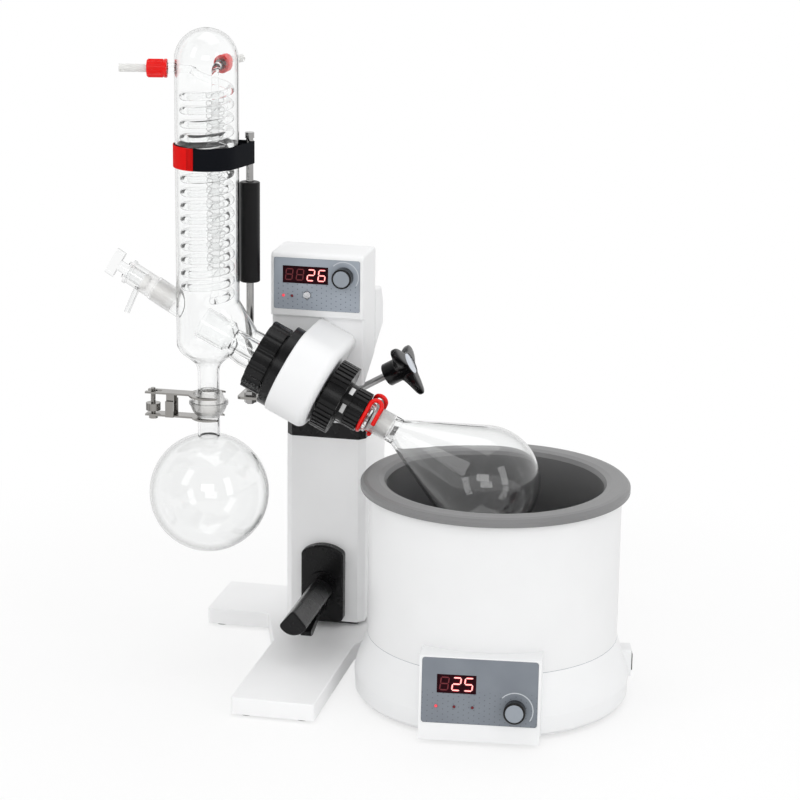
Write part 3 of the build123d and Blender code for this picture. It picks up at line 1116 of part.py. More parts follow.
with BuildPart() as bath_floor:
    disc(level(BATH_FOOT_H), BATH_FLARE_R - 7, 2.5, at=(BATH_X, BATH_Y))
bath_floor.part.label = "bath_floor"
export_step(bath_floor.part, "parts/bath_floor.step")

with BuildPart() as bath_feet:
    for bearing in (45, 135, 225, 315):
        disc(level(0), 10, BATH_FOOT_H, at=ray(BATH_X, BATH_Y, 118, bearing))
bath_feet.part.label = "bath_feet"
export_step(bath_feet.part, "parts/bath_feet.step")
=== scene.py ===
import json
import math

import bmesh
import bpy
from mathutils import Matrix, Vector


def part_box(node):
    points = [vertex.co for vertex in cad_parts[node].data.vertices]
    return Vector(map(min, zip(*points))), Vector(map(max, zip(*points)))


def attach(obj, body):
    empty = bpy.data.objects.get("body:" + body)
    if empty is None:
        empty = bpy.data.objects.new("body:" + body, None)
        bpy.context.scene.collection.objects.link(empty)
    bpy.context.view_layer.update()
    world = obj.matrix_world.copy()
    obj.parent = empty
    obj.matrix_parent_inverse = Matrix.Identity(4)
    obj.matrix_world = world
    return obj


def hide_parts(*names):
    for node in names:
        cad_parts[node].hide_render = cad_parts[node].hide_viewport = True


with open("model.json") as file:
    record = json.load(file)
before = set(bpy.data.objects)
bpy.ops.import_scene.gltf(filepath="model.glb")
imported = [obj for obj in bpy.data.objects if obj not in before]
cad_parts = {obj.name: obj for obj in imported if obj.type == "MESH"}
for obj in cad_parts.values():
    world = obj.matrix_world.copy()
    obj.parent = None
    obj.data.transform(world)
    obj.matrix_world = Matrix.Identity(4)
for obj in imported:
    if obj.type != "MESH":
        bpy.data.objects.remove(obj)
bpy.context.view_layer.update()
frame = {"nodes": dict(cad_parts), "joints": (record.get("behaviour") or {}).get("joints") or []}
nodes = frame["nodes"]
joints = {joint["name"]: joint for joint in frame["joints"]}
MM = 0.001
UP = Vector((0, 0, 1))


def pivot(name):
    """A joint's place and direction, from the frame."""
    joint = joints[name]
    return Vector(joint["pos_m"]), Vector(joint["axis"]).normalized()


def seat(origin, right, up):
    """A working plane: local x to the right, local y up, local z out of the surface."""
    right = Vector(right).normalized()
    out = right.cross(Vector(up)).normalized()
    up = out.cross(right)
    turned = Matrix((right, up, out)).transposed().to_4x4()
    return Matrix.Translation(Vector(origin)) @ turned


def along(origin, way):
    """A working plane whose local z runs along a direction."""
    way = Vector(way).normalized()
    right = way.cross(UP) if abs(way.z) < 0.99 else Vector((1, 0, 0))
    return seat(origin, right, way.cross(right))


# Places worked out from the frame
DRIVE_AT, DRIVE_WAY = pivot("flask_spin")
KNOB_AT = pivot("speed_turn")[0]
DIAL_AT, DIAL_IN = pivot("bath_dial")
STAR_AT, STAR_WAY = pivot("star_turn")
SCREW_AT = pivot("clamp_nut_turn")[0]
FEED_AT, FEED_WAY = pivot("feed_key_turn")
PANEL_LOW, PANEL_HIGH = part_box("head_panel")
WINDOW_LOW, WINDOW_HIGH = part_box("head_display")
BALL_LOW, BALL_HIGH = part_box("receiving_flask")
STRAP_LOW, STRAP_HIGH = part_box("condenser_strap")
ROD_LOW, ROD_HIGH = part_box("support_rod")
POT_LOW, POT_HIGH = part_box("bath_pot")
PAD_LOW, PAD_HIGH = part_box("support_pad")
CONDENSER = Vector(((BALL_LOW.x + BALL_HIGH.x) / 2, DRIVE_AT.y, 0))
ROD = Vector(((ROD_LOW.x + ROD_HIGH.x) / 2, (ROD_LOW.y + ROD_HIGH.y) / 2, 0))
BATH_AT = Vector(((POT_LOW.x + POT_HIGH.x) / 2, (POT_LOW.y + POT_HIGH.y) / 2, 0))
LIFT = Vector((-DRIVE_WAY.z, 0, DRIVE_WAY.x))
NEAR = Vector((0, -1, 0))
PANEL_FRONT = PANEL_LOW.y
DIAL_OUT = -DIAL_IN
DIAL_RIGHT = UP.cross(DIAL_OUT).normalized()
DIAL_UP = DIAL_OUT.cross(DIAL_RIGHT)
DIAL_U = 37.1 * MM
DIAL_V = -17.5 * MM
BATH_FACE = DIAL_AT - DIAL_RIGHT * DIAL_U - DIAL_UP * DIAL_V
HEAD_PLANE = seat((0, PANEL_FRONT, 0), (1, 0, 0), UP)
BATH_PLANE = seat(BATH_FACE, DIAL_RIGHT, DIAL_UP)
DRIVE_PLANE = along(DRIVE_AT, DRIVE_WAY)


class Wire:
    """A node's output that takes Python operators; each one adds a Math node."""

    def __init__(self, graph, socket):
        self.graph = graph
        self.socket = socket

    def do(self, operation, first, second=0.0):
        return self.graph.node("ShaderNodeMath", {"operation": operation}, {0: first, 1: second})

    def __add__(self, other):
        return self.do("ADD", self, other)

    __radd__ = __add__

    def __mul__(self, other):
        return self.do("MULTIPLY", self, other)

    __rmul__ = __mul__

    def __sub__(self, other):
        return self.do("SUBTRACT", self, other)

    def __rsub__(self, other):
        return self.do("SUBTRACT", other, self)

    def __truediv__(self, other):
        return self.do("DIVIDE", self, other)

    def __pow__(self, other):
        return self.do("POWER", self, other)

    def __lt__(self, other):
        return self.do("LESS_THAN", self, other)

    def __gt__(self, other):
        return self.do("GREATER_THAN", self, other)

    def __abs__(self):
        return self.do("ABSOLUTE", self)

    def most(self, other):
        return self.do("MAXIMUM", self, other)

    def fraction(self):
        return self.do("FRACT", self)

    def wave(self):
        return self.do("SINE", self)


class Graph:
    """A node tree with one way to add a node."""

    def __init__(self, tree):
        self.tree = tree

    def node(self, kind, settings=None, inputs=None, output=0):
        made = self.tree.nodes.new(kind)
        for key, value in (settings or {}).items():
            if key == "stops":
                self.stops(made.color_ramp, value)
            else:
                setattr(made, key, value)
        for key, value in (inputs or {}).items():
            self.plug(made.inputs[key], value)
        return Wire(self, made.outputs[output])

    def plug(self, socket, value):
        if isinstance(value, Wire):
            self.tree.links.new(value.socket, socket)
        else:
            socket.default_value = value

    @staticmethod
    def stops(ramp, stops):
        while len(ramp.elements) < len(stops):
            ramp.elements.new(1.0)
        for element, (position, colour) in zip(ramp.elements, stops):
            element.position = position
            element.color = (*colour, 1.0)


class Finish(Graph):
    """A material on Object coordinates, in metres."""

    def __init__(self, name):
        self.material = bpy.data.materials.new(name)
        self.material.use_nodes = True
        super().__init__(self.material.node_tree)
        self.shader = self.tree.nodes["Principled BSDF"]
        self.place = self.node("ShaderNodeTexCoord", output="Object")

    def set(self, **values):
        for name, value in values.items():
            self.plug(self.shader.inputs[name.replace("_", " ")], value)

    def noise(self, scale, detail=2.0, vector=None):
        return self.node("ShaderNodeTexNoise", None,
                         {"Vector": vector or self.place, "Scale": scale, "Detail": detail}, "Fac")

    def ramp(self, factor, *stops):
        return self.node("ShaderNodeValToRGB", {"stops": stops}, {"Fac": factor})

    def mix(self, factor, first, second):
        first = first if isinstance(first, Wire) else (*first, 1.0)
        second = second if isinstance(second, Wire) else (*second, 1.0)
        return self.node("ShaderNodeMix", {"data_type": "RGBA"}, {0: factor, 6: first, 7: second}, 2)

    def mottle(self, factor, colour, dark):
        """A colour that a noise pulls towards a darker shade of itself."""
        return self.ramp(factor, (0.3, shade(colour, dark)), (0.7, colour))

    def bump(self, height, distance):
        self.set(Normal=self.node("ShaderNodeBump", None,
                                  {"Height": height, "Distance": distance, "Strength": 1.0}))

    def reach(self, origin, way):
        """How far a point lies from an origin along a direction, in metres."""
        shifted = self.node("ShaderNodeVectorMath", {"operation": "SUBTRACT"},
                            {0: self.place, 1: tuple(origin)})
        return self.node("ShaderNodeVectorMath", {"operation": "DOT_PRODUCT"},
                         {0: shifted, 1: tuple(way)}, "Value")

    def spread(self, origin, way):
        """How far a point lies from the line through an origin along a direction, in metres."""
        shifted = self.node("ShaderNodeVectorMath", {"operation": "SUBTRACT"},
                            {0: self.place, 1: tuple(origin)})
        off = self.node("ShaderNodeVectorMath", {"operation": "CROSS_PRODUCT"}, {0: shifted, 1: tuple(way)})
        return self.node("ShaderNodeVectorMath", {"operation": "LENGTH"}, {0: off}, "Value")


def shade(colour, factor):
    return tuple(part * factor for part in colour)


# Finishes
def moulded(name, colour, rough, grain=1500.0, depth=0.05, spread=0.05, gloss=0.5):
    """Injection-moulded plastic: faint mottle, uneven sheen, fine spark texture."""
    finish = Finish(name)
    cloud = finish.noise(14.0, 3.0)
    smear = finish.noise(55.0, 4.0)
    spark = finish.noise(grain, 2.0)
    finish.set(Base_Color=finish.mottle(cloud, colour, 1 - spread),
               Roughness=smear * 0.12 + (rough - 0.06), Specular_IOR_Level=gloss)
    finish.bump(spark, depth * MM)
    return finish.material


def powder_coat(name, colour, rough):
    """Baked powder paint: fine orange peel over a slightly cloudy white."""
    finish = Finish(name)
    peel = finish.noise(900.0, 1.0)
    dust = finish.noise(4000.0, 1.0)
    cloud = finish.noise(9.0, 3.0)
    finish.set(Base_Color=finish.mottle(cloud, colour, 0.965),
               Roughness=dust * 0.14 + (rough - 0.07))
    finish.bump(peel * 0.7 + dust * 0.3, 0.11 * MM)
    return finish.material


def polished_steel(name, colour, rough, grain_way):
    """Bright steel with fine drawn lines along one direction."""
    finish = Finish(name)
    stretch = tuple(12.0 if abs(part) > 0.5 else 900.0 for part in grain_way)
    drawn = finish.node("ShaderNodeVectorMath", {"operation": "MULTIPLY"}, {0: finish.place, 1: stretch})
    lines = finish.noise(1.0, 3.0, drawn)
    stain = finish.noise(60.0, 3.0)
    finish.set(Base_Color=finish.mottle(stain, colour, 0.85), Metallic=1.0,
               Roughness=lines * 0.12 + stain * 0.08 + (rough - 0.1))
    finish.bump(lines, 0.012 * MM)
    return finish.material


def clear_glass(name, index, edge, zones=(), body=0.985, onset=0.54):
    """Borosilicate glass with painted shade at its edges: its colour darkens at a grazing view. It is ground
    matt inside each zone.
    A zone is an origin, a direction, the two distances between which the glass is ground, and a radius."""
    finish = Finish(name)
    # Painted shade: the colour darkens where the glass is seen at a grazing angle, to draw dark edges.
    facing = finish.node("ShaderNodeLayerWeight", None, {"Blend": 0.5}, "Facing")
    edge_shaded_tint = finish.ramp(facing, (onset, (body, body * 1.004, body * 1.003)),
                       (0.96, (edge, edge * 1.01, edge * 1.01)))
    ground = None
    for origin, way, low, high, radius in zones:
        reach = finish.reach(origin, way)
        inside = (reach > low) * (reach < high) * (finish.spread(origin, way) < radius)
        ground = inside if ground is None else ground.most(inside)
    streak = finish.noise(30.0, 3.0)
    rough = streak * 0.01
    if ground is not None:
        frost = finish.noise(2500.0, 2.0)
        rough = rough + ground * (frost * 0.12 + 0.22)
        edge_shaded_tint = finish.mix(ground * 0.85, edge_shaded_tint, (0.975, 0.972, 0.965))
    finish.set(Base_Color=edge_shaded_tint, Roughness=rough, Transmission_Weight=1.0, IOR=index)
    return finish.material


def faint_glass(name, colour, outline):
    """Thin glass deep inside other glass: painted shade draws only the grey outlines of its turns, where they
    are seen at a grazing angle.
    """
    finish = Finish(name)
    facing = finish.node("ShaderNodeLayerWeight", None, {"Blend": 0.5}, "Facing")
    streak = finish.noise(60.0, 3.0)
    # Painted shade: the grey colour shows only at a grazing angle, as dark outlines.
    film = finish.node("ShaderNodeMapRange", {"interpolation_type": "SMOOTHSTEP"},
                       {"Value": facing, "From Min": 0.4, "From Max": 1.0, "To Min": 0.03, "To Max": outline})
    finish.set(Base_Color=finish.mottle(streak, colour, 0.8),
               Roughness=streak * 0.1 + 0.02, Alpha=film, IOR=1.42)
    return finish.material


def milky_plastic(name, colour):
    """Natural polypropylene: lets light through, with a waxy skin."""
    finish = Finish(name)
    cloud = finish.noise(90.0, 3.0)
    finish.set(Base_Color=finish.mottle(cloud, colour, 0.94),
               Roughness=cloud * 0.15 + 0.3, Transmission_Weight=0.3, IOR=1.35)
    finish.bump(finish.noise(1200.0), 0.03 * MM)
    return finish.material


def hook_tape(name, colour):
    """Woven fastening tape: fine crossed ribs with a nap."""
    finish = Finish(name)
    height = finish.node("ShaderNodeSeparateXYZ", None, {0: finish.place}, 2)
    right = finish.reach(CONDENSER, (1, 0, 0))
    back = finish.reach(CONDENSER, (0, 1, 0))
    turn = finish.node("ShaderNodeMath", {"operation": "ARCTAN2"}, {0: back, 1: right})
    warp = (height * 7000.0).wave()
    weft = (turn * 260.0).wave()
    nap = finish.noise(1800.0, 3.0)
    weave = warp * weft * 0.5 + nap
    finish.set(Base_Color=finish.ramp(weave, (0.2, shade(colour, 0.6)), (0.8, shade(colour, 1.15))),
               Roughness=nap * 0.2 + 0.66, Specular_IOR_Level=0.1)
    finish.bump(weave, 0.12 * MM)
    return finish.material


def foam_rubber(name, colour):
    """Closed-cell foam sleeve: small open cells in a dull skin."""
    finish = Finish(name)
    cells = finish.node("ShaderNodeTexVoronoi", None, {"Vector": finish.place, "Scale": 1100.0}, "Distance")
    cloud = finish.noise(40.0, 3.0)
    finish.set(Base_Color=finish.mottle(cloud, colour, 0.75),
               Roughness=cloud * 0.14 + 0.26, Specular_IOR_Level=0.16)
    finish.bump(cells, 0.03 * MM)
    return finish.material


def pot_coat_with_painted_shade(name, rim, inside):
    """Baked grey coat on the pot, with painted shade: the wall is painted darker below the rim, where shade
    falls inside the pot.
    """
    finish = Finish(name)
    height = finish.reach(POT_HIGH, (0, 0, 1))
    fleck = finish.noise(2600.0, 2.0)
    cloud = finish.noise(12.0, 3.0)
    # Painted shade: the wall darkens from the rim colour to the inside colour over the first 60 mm below the
    # top.
    depth = finish.node("ShaderNodeMapRange", None,
                        {"Value": height, "From Min": -60 * MM, "From Max": -4 * MM})
    body = finish.mix(depth, inside, rim)
    finish.set(Base_Color=finish.mix(cloud * 0.35, body, shade(inside, 0.8)),
               Roughness=fleck * 0.16 + 0.34, Metallic=0.15)
    finish.bump(fleck, 0.03 * MM)
    return finish.material


FILM_DARK = (0.27, 0.30, 0.345)
FILM_LIGHT = (0.30, 0.335, 0.38)
FILM_DOT = (0.10, 0.11, 0.135)
FILM_ARC = (0.62, 0.65, 0.68)
FILM_EDGE = (0.2, 0.22, 0.26)


def panel_film(name, level, plane, knob, dots_top, arc_radius, ledge):
    """Printed blue-grey panel film: staggered dots on its lower part and a scale arc round the knob."""
    finish = Finish(name)
    column_step, row_step, dot_square, arc_half = 10.8, 5.6, 0.42, 0.55 * MM
    across = finish.reach(plane.translation, plane.col[0].to_3d())
    rise = finish.reach(plane.translation, plane.col[1].to_3d())
    dots = None
    for shift in (0.0, 0.5):
        column = ((across / (column_step * MM) + shift).fraction() - 0.5) * column_step
        row = ((rise / (row_step * MM) + shift).fraction() - 0.5) * row_step
        spot = (column * column + row * row) < dot_square
        dots = spot if dots is None else dots.most(spot)
    dots = dots * (rise < dots_top)
    side = across - knob[0]
    lift = rise - knob[1]
    radius = (side * side + lift * lift) ** 0.5
    band = abs(radius - arc_radius) < arc_half
    sweep = (side * 0.8 + lift) > 2 * MM
    cloud = finish.noise(35.0, 2.0)
    film = finish.ramp(cloud, (0.3, shade(FILM_DARK, level)), (0.7, shade(FILM_LIGHT, level)))
    printed = finish.mix(dots * 0.75, film, FILM_DOT)
    printed = finish.mix(band * sweep * 0.85, printed, FILM_ARC)
    edge = (across > ledge[1]).most(across < ledge[0])
    printed = finish.mix(edge * 0.3, printed, FILM_EDGE)
    skin = finish.noise(3000.0, 2.0)
    finish.set(Base_Color=printed, Roughness=skin * 0.14 + 0.36)
    finish.bump(skin, 0.02 * MM)
    return finish.material


def dark_window(name):
    """Smoked red display window with a fine grain."""
    finish = Finish(name)
    grain = finish.noise(500.0, 2.0)
    finish.set(Base_Color=finish.ramp(grain, (0.3, (0.012, 0.0015, 0.003)), (0.7, (0.03, 0.002, 0.006))),
               Roughness=grain * 0.06 + 0.12, Specular_IOR_Level=0.05)
    return finish.material


def lamp_glow(name, colour, strength, base):
    """A part that gives off its own light over a tinted lens; on unlit bars and lamps this light is a painted
    glow.
    """
    finish = Finish(name)
    grain = finish.noise(700.0, 2.0)
    finish.set(Base_Color=finish.mottle(grain, base, 0.8),
               Emission_Color=finish.ramp(grain, (0.2, shade(colour, 0.93)), (0.8, colour)),
               Emission_Strength=strength, Roughness=grain * 0.1 + 0.2)
    return finish.material


WHITE = (0.86, 0.865, 0.87)
BLACK = (0.009, 0.009, 0.0095)
RED = (0.82, 0.008, 0.006)
housing_white = moulded("housing_white", WHITE, 0.42, 1400.0, 0.03, 0.02)
# Painted light: the base and column get a paler white, and the bath a darker one, than the housing, to even
# out how lit each looks.
metal_white = powder_coat("metal_white", (0.92, 0.922, 0.925), 0.45)
bath_white = powder_coat("bath_white", (0.84, 0.843, 0.846), 0.4)
satin_black = moulded("satin_black", BLACK, 0.27, 1700.0, 0.03, 0.2, 0.22)
gloss_black = moulded("gloss_black", (0.006, 0.006, 0.0065), 0.16, 700.0, 0.01, 0.2, 0.3)
soft_black = moulded("soft_black", (0.007, 0.007, 0.0075), 0.27, 2200.0, 0.03, 0.2, 0.22)
gloss_red = moulded("gloss_red", RED, 0.24, 900.0, 0.015, 0.1, 0.3)
knob_grey = moulded("knob_grey", (0.30, 0.33, 0.37), 0.38, 1500.0, 0.03, 0.06)
gear_nylon = moulded("gear_nylon", (0.78, 0.74, 0.64), 0.45, 1300.0, 0.04, 0.06)
board_green = moulded("board_green", (0.03, 0.2, 0.09), 0.4, 600.0, 0.03, 0.25)
feet_rubber = moulded("feet_rubber", (0.025, 0.025, 0.025), 0.7, 1200.0, 0.1, 0.25, 0.3)
rod_steel = polished_steel("rod_steel", (0.38, 0.375, 0.37), 0.14, (0, 0, 1))
clamp_steel = polished_steel("clamp_steel", (0.33, 0.32, 0.305), 0.15, (1, 0, 0))
stud_steel = polished_steel("stud_steel", (0.55, 0.55, 0.55), 0.3, (1, 0, 0))
cast_aluminium = polished_steel("cast_aluminium", (0.62, 0.62, 0.63), 0.38, (0, 1, 0))
button_chrome = polished_steel("button_chrome", (0.72, 0.73, 0.75), 0.18, (0, 1, 0))
post_paint = powder_coat("post_paint", (0.03, 0.03, 0.032), 0.5)
milky_white = milky_plastic("milky_white", (0.9, 0.9, 0.88))
black_tape = hook_tape("black_tape", (0.004, 0.005, 0.008))
red_tape = hook_tape("red_tape", (0.84, 0.006, 0.005))
stitch_red = hook_tape("stitch_red", (0.2, 0.004, 0.004))
pad_foam = foam_rubber("pad_foam", (0.008, 0.008, 0.0085))
# Painted shade: the second colour is the darker pot wall below the rim, where shade falls inside the pot.
pot_grey = pot_coat_with_painted_shade("pot_grey", (0.235, 0.235, 0.237), (0.125, 0.125, 0.127))
window_red = dark_window("window_red")
lit_core = lamp_glow("lit_core", (1.0, 0.60, 0.56), 1.0, (0.9, 0.3, 0.28))
lit_halo = lamp_glow("lit_halo", (0.70, 0.015, 0.03), 0.8, (0.5, 0.02, 0.03))
lamp_red = lamp_glow("lamp_red", (0.9, 0.05, 0.08), 0.8, (0.6, 0.05, 0.06))
# Painted glow: unlit bars and lamps give off a faint red light though they are off.
unlit_bar = lamp_glow("unlit_bar", (0.10, 0.004, 0.008), 0.6, (0.1, 0.005, 0.01))
cap_silver = polished_steel("cap_silver", (0.66, 0.70, 0.76), 0.2, (0, 1, 0))
shell_glass = clear_glass("shell_glass", 1.42, 0.30, [
    (CONDENSER, UP, 292 * MM, 316 * MM, 24 * MM),
    (FEED_AT, FEED_WAY, -58 * MM, -32 * MM, 16 * MM),
])
coil_glass = clear_glass("coil_glass", 1.15, 0.4)
inner_glass = faint_glass("inner_glass", (0.30, 0.305, 0.305), 0.5)
flask_glass = clear_glass("flask_glass", 1.42, 0.36, [(DRIVE_AT, DRIVE_WAY, 82 * MM, 105 * MM, 22 * MM)])
receiver_glass = clear_glass("receiver_glass", 1.42, 0.36, [(CONDENSER, UP, 288 * MM, 306 * MM, 26 * MM)],
                             0.955)
fitting_glass = clear_glass("fitting_glass", 1.4, 0.25, [(FEED_AT, FEED_WAY, -50 * MM, -16 * MM, 16 * MM)],
                            0.95, 0.3)
head_film = panel_film("head_film", 1.22, seat((0, PANEL_FRONT, PANEL_LOW.z), (1, 0, 0), UP),
                       (KNOB_AT.x, KNOB_AT.z - PANEL_LOW.z), 30 * MM, 16.4 * MM,
                       (PANEL_LOW.x + 0.8 * MM, PANEL_HIGH.x - 0.8 * MM))
bath_film = panel_film("bath_film", 0.68, BATH_PLANE, (DIAL_U, DIAL_V), 0.0, 18.6 * MM,
                       (-59.4 * MM, 59.4 * MM))

NODE_FINISH = {
    housing_white: ("head_housing", "head_rear_cover", "drive_housing", "bath_base_shell"),
    metal_white: ("base", "column_sleeve"),
    bath_white: ("bath_shell",),
    satin_black: ("column_cap", "housing_flange", "condenser_nut", "drive_hub", "lock_ring", "ejector_nut",
                  "bath_switch"),
    soft_black: ("handle_plate", "lift_grip", "lift_trigger"),
    gloss_black: ("speed_knob", "bath_knob", "star_knob"),
    head_film: ("head_panel",),
    bath_film: ("bath_panel",),
    window_red: ("head_display", "bath_display"),
    shell_glass: ("condenser_shell",),
    coil_glass: ("condenser_coil",),
    flask_glass: ("evaporating_flask", "vapour_tube"),
    receiver_glass: ("receiving_flask",),
    fitting_glass: ("feed_adaptor", "feed_stopper"),
    gloss_red: ("nozzle_caps", "joint_clip"),
    milky_white: ("hose_nozzles", "shaft_seal"),
    rod_steel: ("support_rod", "gas_spring_rod"),
    clamp_steel: ("rod_bracket", "clamp_lower_jaw", "clamp_upper_jaw", "clamp_nut", "hub_bearings",
                  "bath_heater"),
    stud_steel: ("clamp_rod",),
    button_chrome: ("start_button",),
    cast_aluminium: ("tilt_collar", "drive_motor"),
    post_paint: ("inner_post", "gas_spring_body", "bath_floor"),
    gear_nylon: ("drive_gear", "motor_pinion"),
    board_green: ("head_board",),
    feet_rubber: ("base_feet", "bath_feet"),
    pad_foam: ("support_pad",),
    black_tape: ("condenser_strap",),
    pot_grey: ("bath_pot",),
}
for finish, names in NODE_FINISH.items():
    for name in names:
        nodes[name].data.materials.clear()
        nodes[name].data.materials.append(finish)


# Pieces
def piece(name, mesh, body, finish, smooth=True):
    """A finished mesh as an object that rides on a body."""
    made = bpy.data.objects.new(name, mesh)
    bpy.context.scene.collection.objects.link(made)
    if finish is not None:
        mesh.materials.clear()
        mesh.materials.append(finish)
    for face in mesh.polygons:
        face.use_smooth = smooth
    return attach(made, body)


def metres(points):
    """Points given in millimetres, in metres."""
    return [(radius * MM, height * MM) for radius, height in points]


def solid(build, name):
    """A mesh from a bmesh, with its doubles merged and its normals outwards."""
    bmesh.ops.remove_doubles(build, verts=build.verts, dist=1e-7)
    bmesh.ops.recalc_face_normals(build, faces=build.faces)
    mesh = bpy.data.meshes.new(name)
    build.to_mesh(mesh)
    build.free()
    return mesh


def lathe(name, profile, plane, steps=64):
    """A solid of revolution from (radius, height) points in metres, round a plane's local z."""
    build = bmesh.new()
    rings = []
    for radius, height in profile:
        count = steps if radius > 1e-9 else 1
        rings.append([build.verts.new(plane @ Vector((radius * math.cos(math.tau * step / count),
                                                      radius * math.sin(math.tau * step / count), height)))
                      for step in range(count)])
    for lower, upper in zip(rings, rings[1:]):
        for step in range(steps):
            corners = [lower[step % len(lower)], lower[(step + 1) % len(lower)],
                       upper[(step + 1) % len(upper)], upper[step % len(upper)]]
            corners = list(dict.fromkeys(corners))
            if len(corners) > 2:
                build.faces.new(corners)
    return solid(build, name)


def plates(name, outlines, plane, low, high):
    """Flat shapes on a plane, each a closed slab between two heights."""
    build = bmesh.new()
    for outline in outlines:
        floor = [build.verts.new(plane @ Vector((x, y, low))) for x, y in outline]
        roof = [build.verts.new(plane @ Vector((x, y, high))) for x, y in outline]
        build.faces.new(floor)
        build.faces.new(roof)
        for step in range(len(outline)):
            after = (step + 1) % len(outline)
            build.faces.new((floor[step], floor[after], roof[after], roof[step]))
    return solid(build, name)


# Seven-bar digits: each bar by its centre in half widths and half heights, and whether it lies flat
BARS = ((0, 1, True), (1, 0.5, False), (1, -0.5, False), (0, -1, True), (-1, -0.5, False), (-1, 0.5, False),
        (0, 0, True))
SLANT = 0.12
LIT = {"2": (0, 1, 3, 4, 6), "5": (0, 2, 3, 5, 6), "6": (0, 2, 3, 4, 5, 6), "8": tuple(range(7))}


def digit_bars(digit, centre, width, height, thick):
    """Outlines of a digit's bars, in the display's plane."""
    outlines = []
    for bar in LIT[digit]:
        across, rise, flat = BARS[bar]
        half = ((width if flat else height / 2) - 0.5 * thick) / 2
        edge = thick / 2
        cut = half - edge
        shape = ((-half, 0), (-cut, edge), (cut, edge), (half, 0), (cut, -edge), (-cut, -edge))
        points = []
        for run, rise_by in shape:
            x, y = (run, rise_by) if flat else (rise_by, run)
            y += rise * height / 2
            points.append((centre[0] + across * width / 2 + x + y * SLANT, centre[1] + y))
        outlines.append(points)
    return outlines


def display(name, body, plane, low, text, ghosts, centre, pitch, width, height):
    """A row of digits in a window: unlit bars with a faint painted glow, a red halo and a bright core for the
    lit ones.
    """
    count = ghosts + len(text)
    spots = [(centre[0] + (place - (count - 1) / 2) * pitch, centre[1]) for place in range(count)]
    thick = 0.15 * width
    layers = (("unlit", "8" * ghosts, spots[:ghosts], thick, unlit_bar, 0.02),
              ("halo", text, spots[ghosts:], 1.75 * thick, lit_halo, 0.05),
              ("core", text, spots[ghosts:], 0.95 * thick, lit_core, 0.14))
    for layer, digits, places, bar, finish, lift in layers:
        outlines = [outline for digit, spot in zip(digits, places)
                    for outline in digit_bars(digit, spot, width, height, bar)]
        mesh = plates(name + "_" + layer, outlines, plane, low + (lift - 0.1) * MM, low + lift * MM)
        piece(name + "_" + layer, mesh, body, finish, smooth=False)


def lens(name, body, plane, spot, radius, finish):
    """A small domed indicator."""
    dome = ((1.0, 0.0), (1.0, 0.25), (0.8, 0.62), (0.42, 0.85), (0, 0.92))
    profile = [(radius * out, radius * rise) for out, rise in dome]
    base = plane @ Matrix.Translation((spot[0], spot[1], 0))
    piece(name, lathe(name, profile, base, 24), body, finish)


def dial_face(name, body, plane, spot, radius, low):
    """The grey disc let into a knob's front, with a lip round it."""
    profile = [(0, low - 0.4 * MM), (radius, low - 0.4 * MM), (radius, low + 0.05 * MM),
               (radius - 0.5 * MM, low + 0.14 * MM), (radius - 1.2 * MM, low + 0.06 * MM),
               (0, low + 0.04 * MM)]
    base = plane @ Matrix.Translation((spot[0], spot[1], 0))
    piece(name, lathe(name, profile, base, 72), body, knob_grey)


# Displays: where the digits stand, their spacing, width and height
HEAD_WINDOW_AT = ((WINDOW_LOW.x + WINDOW_HIGH.x) / 2, (WINDOW_LOW.z + WINDOW_HIGH.z) / 2)
BATH_WINDOW_AT = (-24.1 * MM, 7.4 * MM)
BATH_WINDOW_LOW = -0.5 * MM
display("speed_digits", "lift", HEAD_PLANE, PANEL_FRONT - WINDOW_LOW.y, "26", 2, HEAD_WINDOW_AT,
        12.2 * MM, 7.4 * MM, 12.0 * MM)
display("bath_digits", "bath", BATH_PLANE, BATH_WINDOW_LOW, "25", 1, BATH_WINDOW_AT,
        12.6 * MM, 8.2 * MM, 13.4 * MM)

# Indicators and dial faces
SPEED_LAMP_Z, SPEED_LAMP_R = 414.2 * MM, 1.6 * MM
BATH_LAMP_V, BATH_LAMP_R, BATH_LAMP_OUT = -16.6 * MM, 1.55 * MM, 0.6 * MM
SPEED_DIAL_R, BATH_DIAL_R, BATH_DIAL_OUT = 8.9 * MM, 9.3 * MM, 12.5 * MM
for name, spot, finish in (("speed_lamp_left", -37.3, lamp_red), ("speed_lamp_right", -27.7, unlit_bar)):
    lens(name, "lift", HEAD_PLANE, (spot * MM, SPEED_LAMP_Z), SPEED_LAMP_R, finish)
bath_film_plane = BATH_PLANE @ Matrix.Translation((0, 0, BATH_LAMP_OUT))
for name, spot, finish in (("bath_lamp_left", -44.9, lamp_red), ("bath_lamp_mid", -26.0, unlit_bar),
                           ("bath_lamp_right", -7.0, unlit_bar)):
    lens(name, "bath", bath_film_plane, (spot * MM, BATH_LAMP_V), BATH_LAMP_R, finish)
knob_front = PANEL_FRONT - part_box("speed_knob")[0].y
dial_face("speed_knob_face", "speed_control", HEAD_PLANE, (KNOB_AT.x, KNOB_AT.z), SPEED_DIAL_R, knob_front)
dial_face("bath_knob_face", "bath_control", BATH_PLANE, (DIAL_U, DIAL_V), BATH_DIAL_R, BATH_DIAL_OUT)


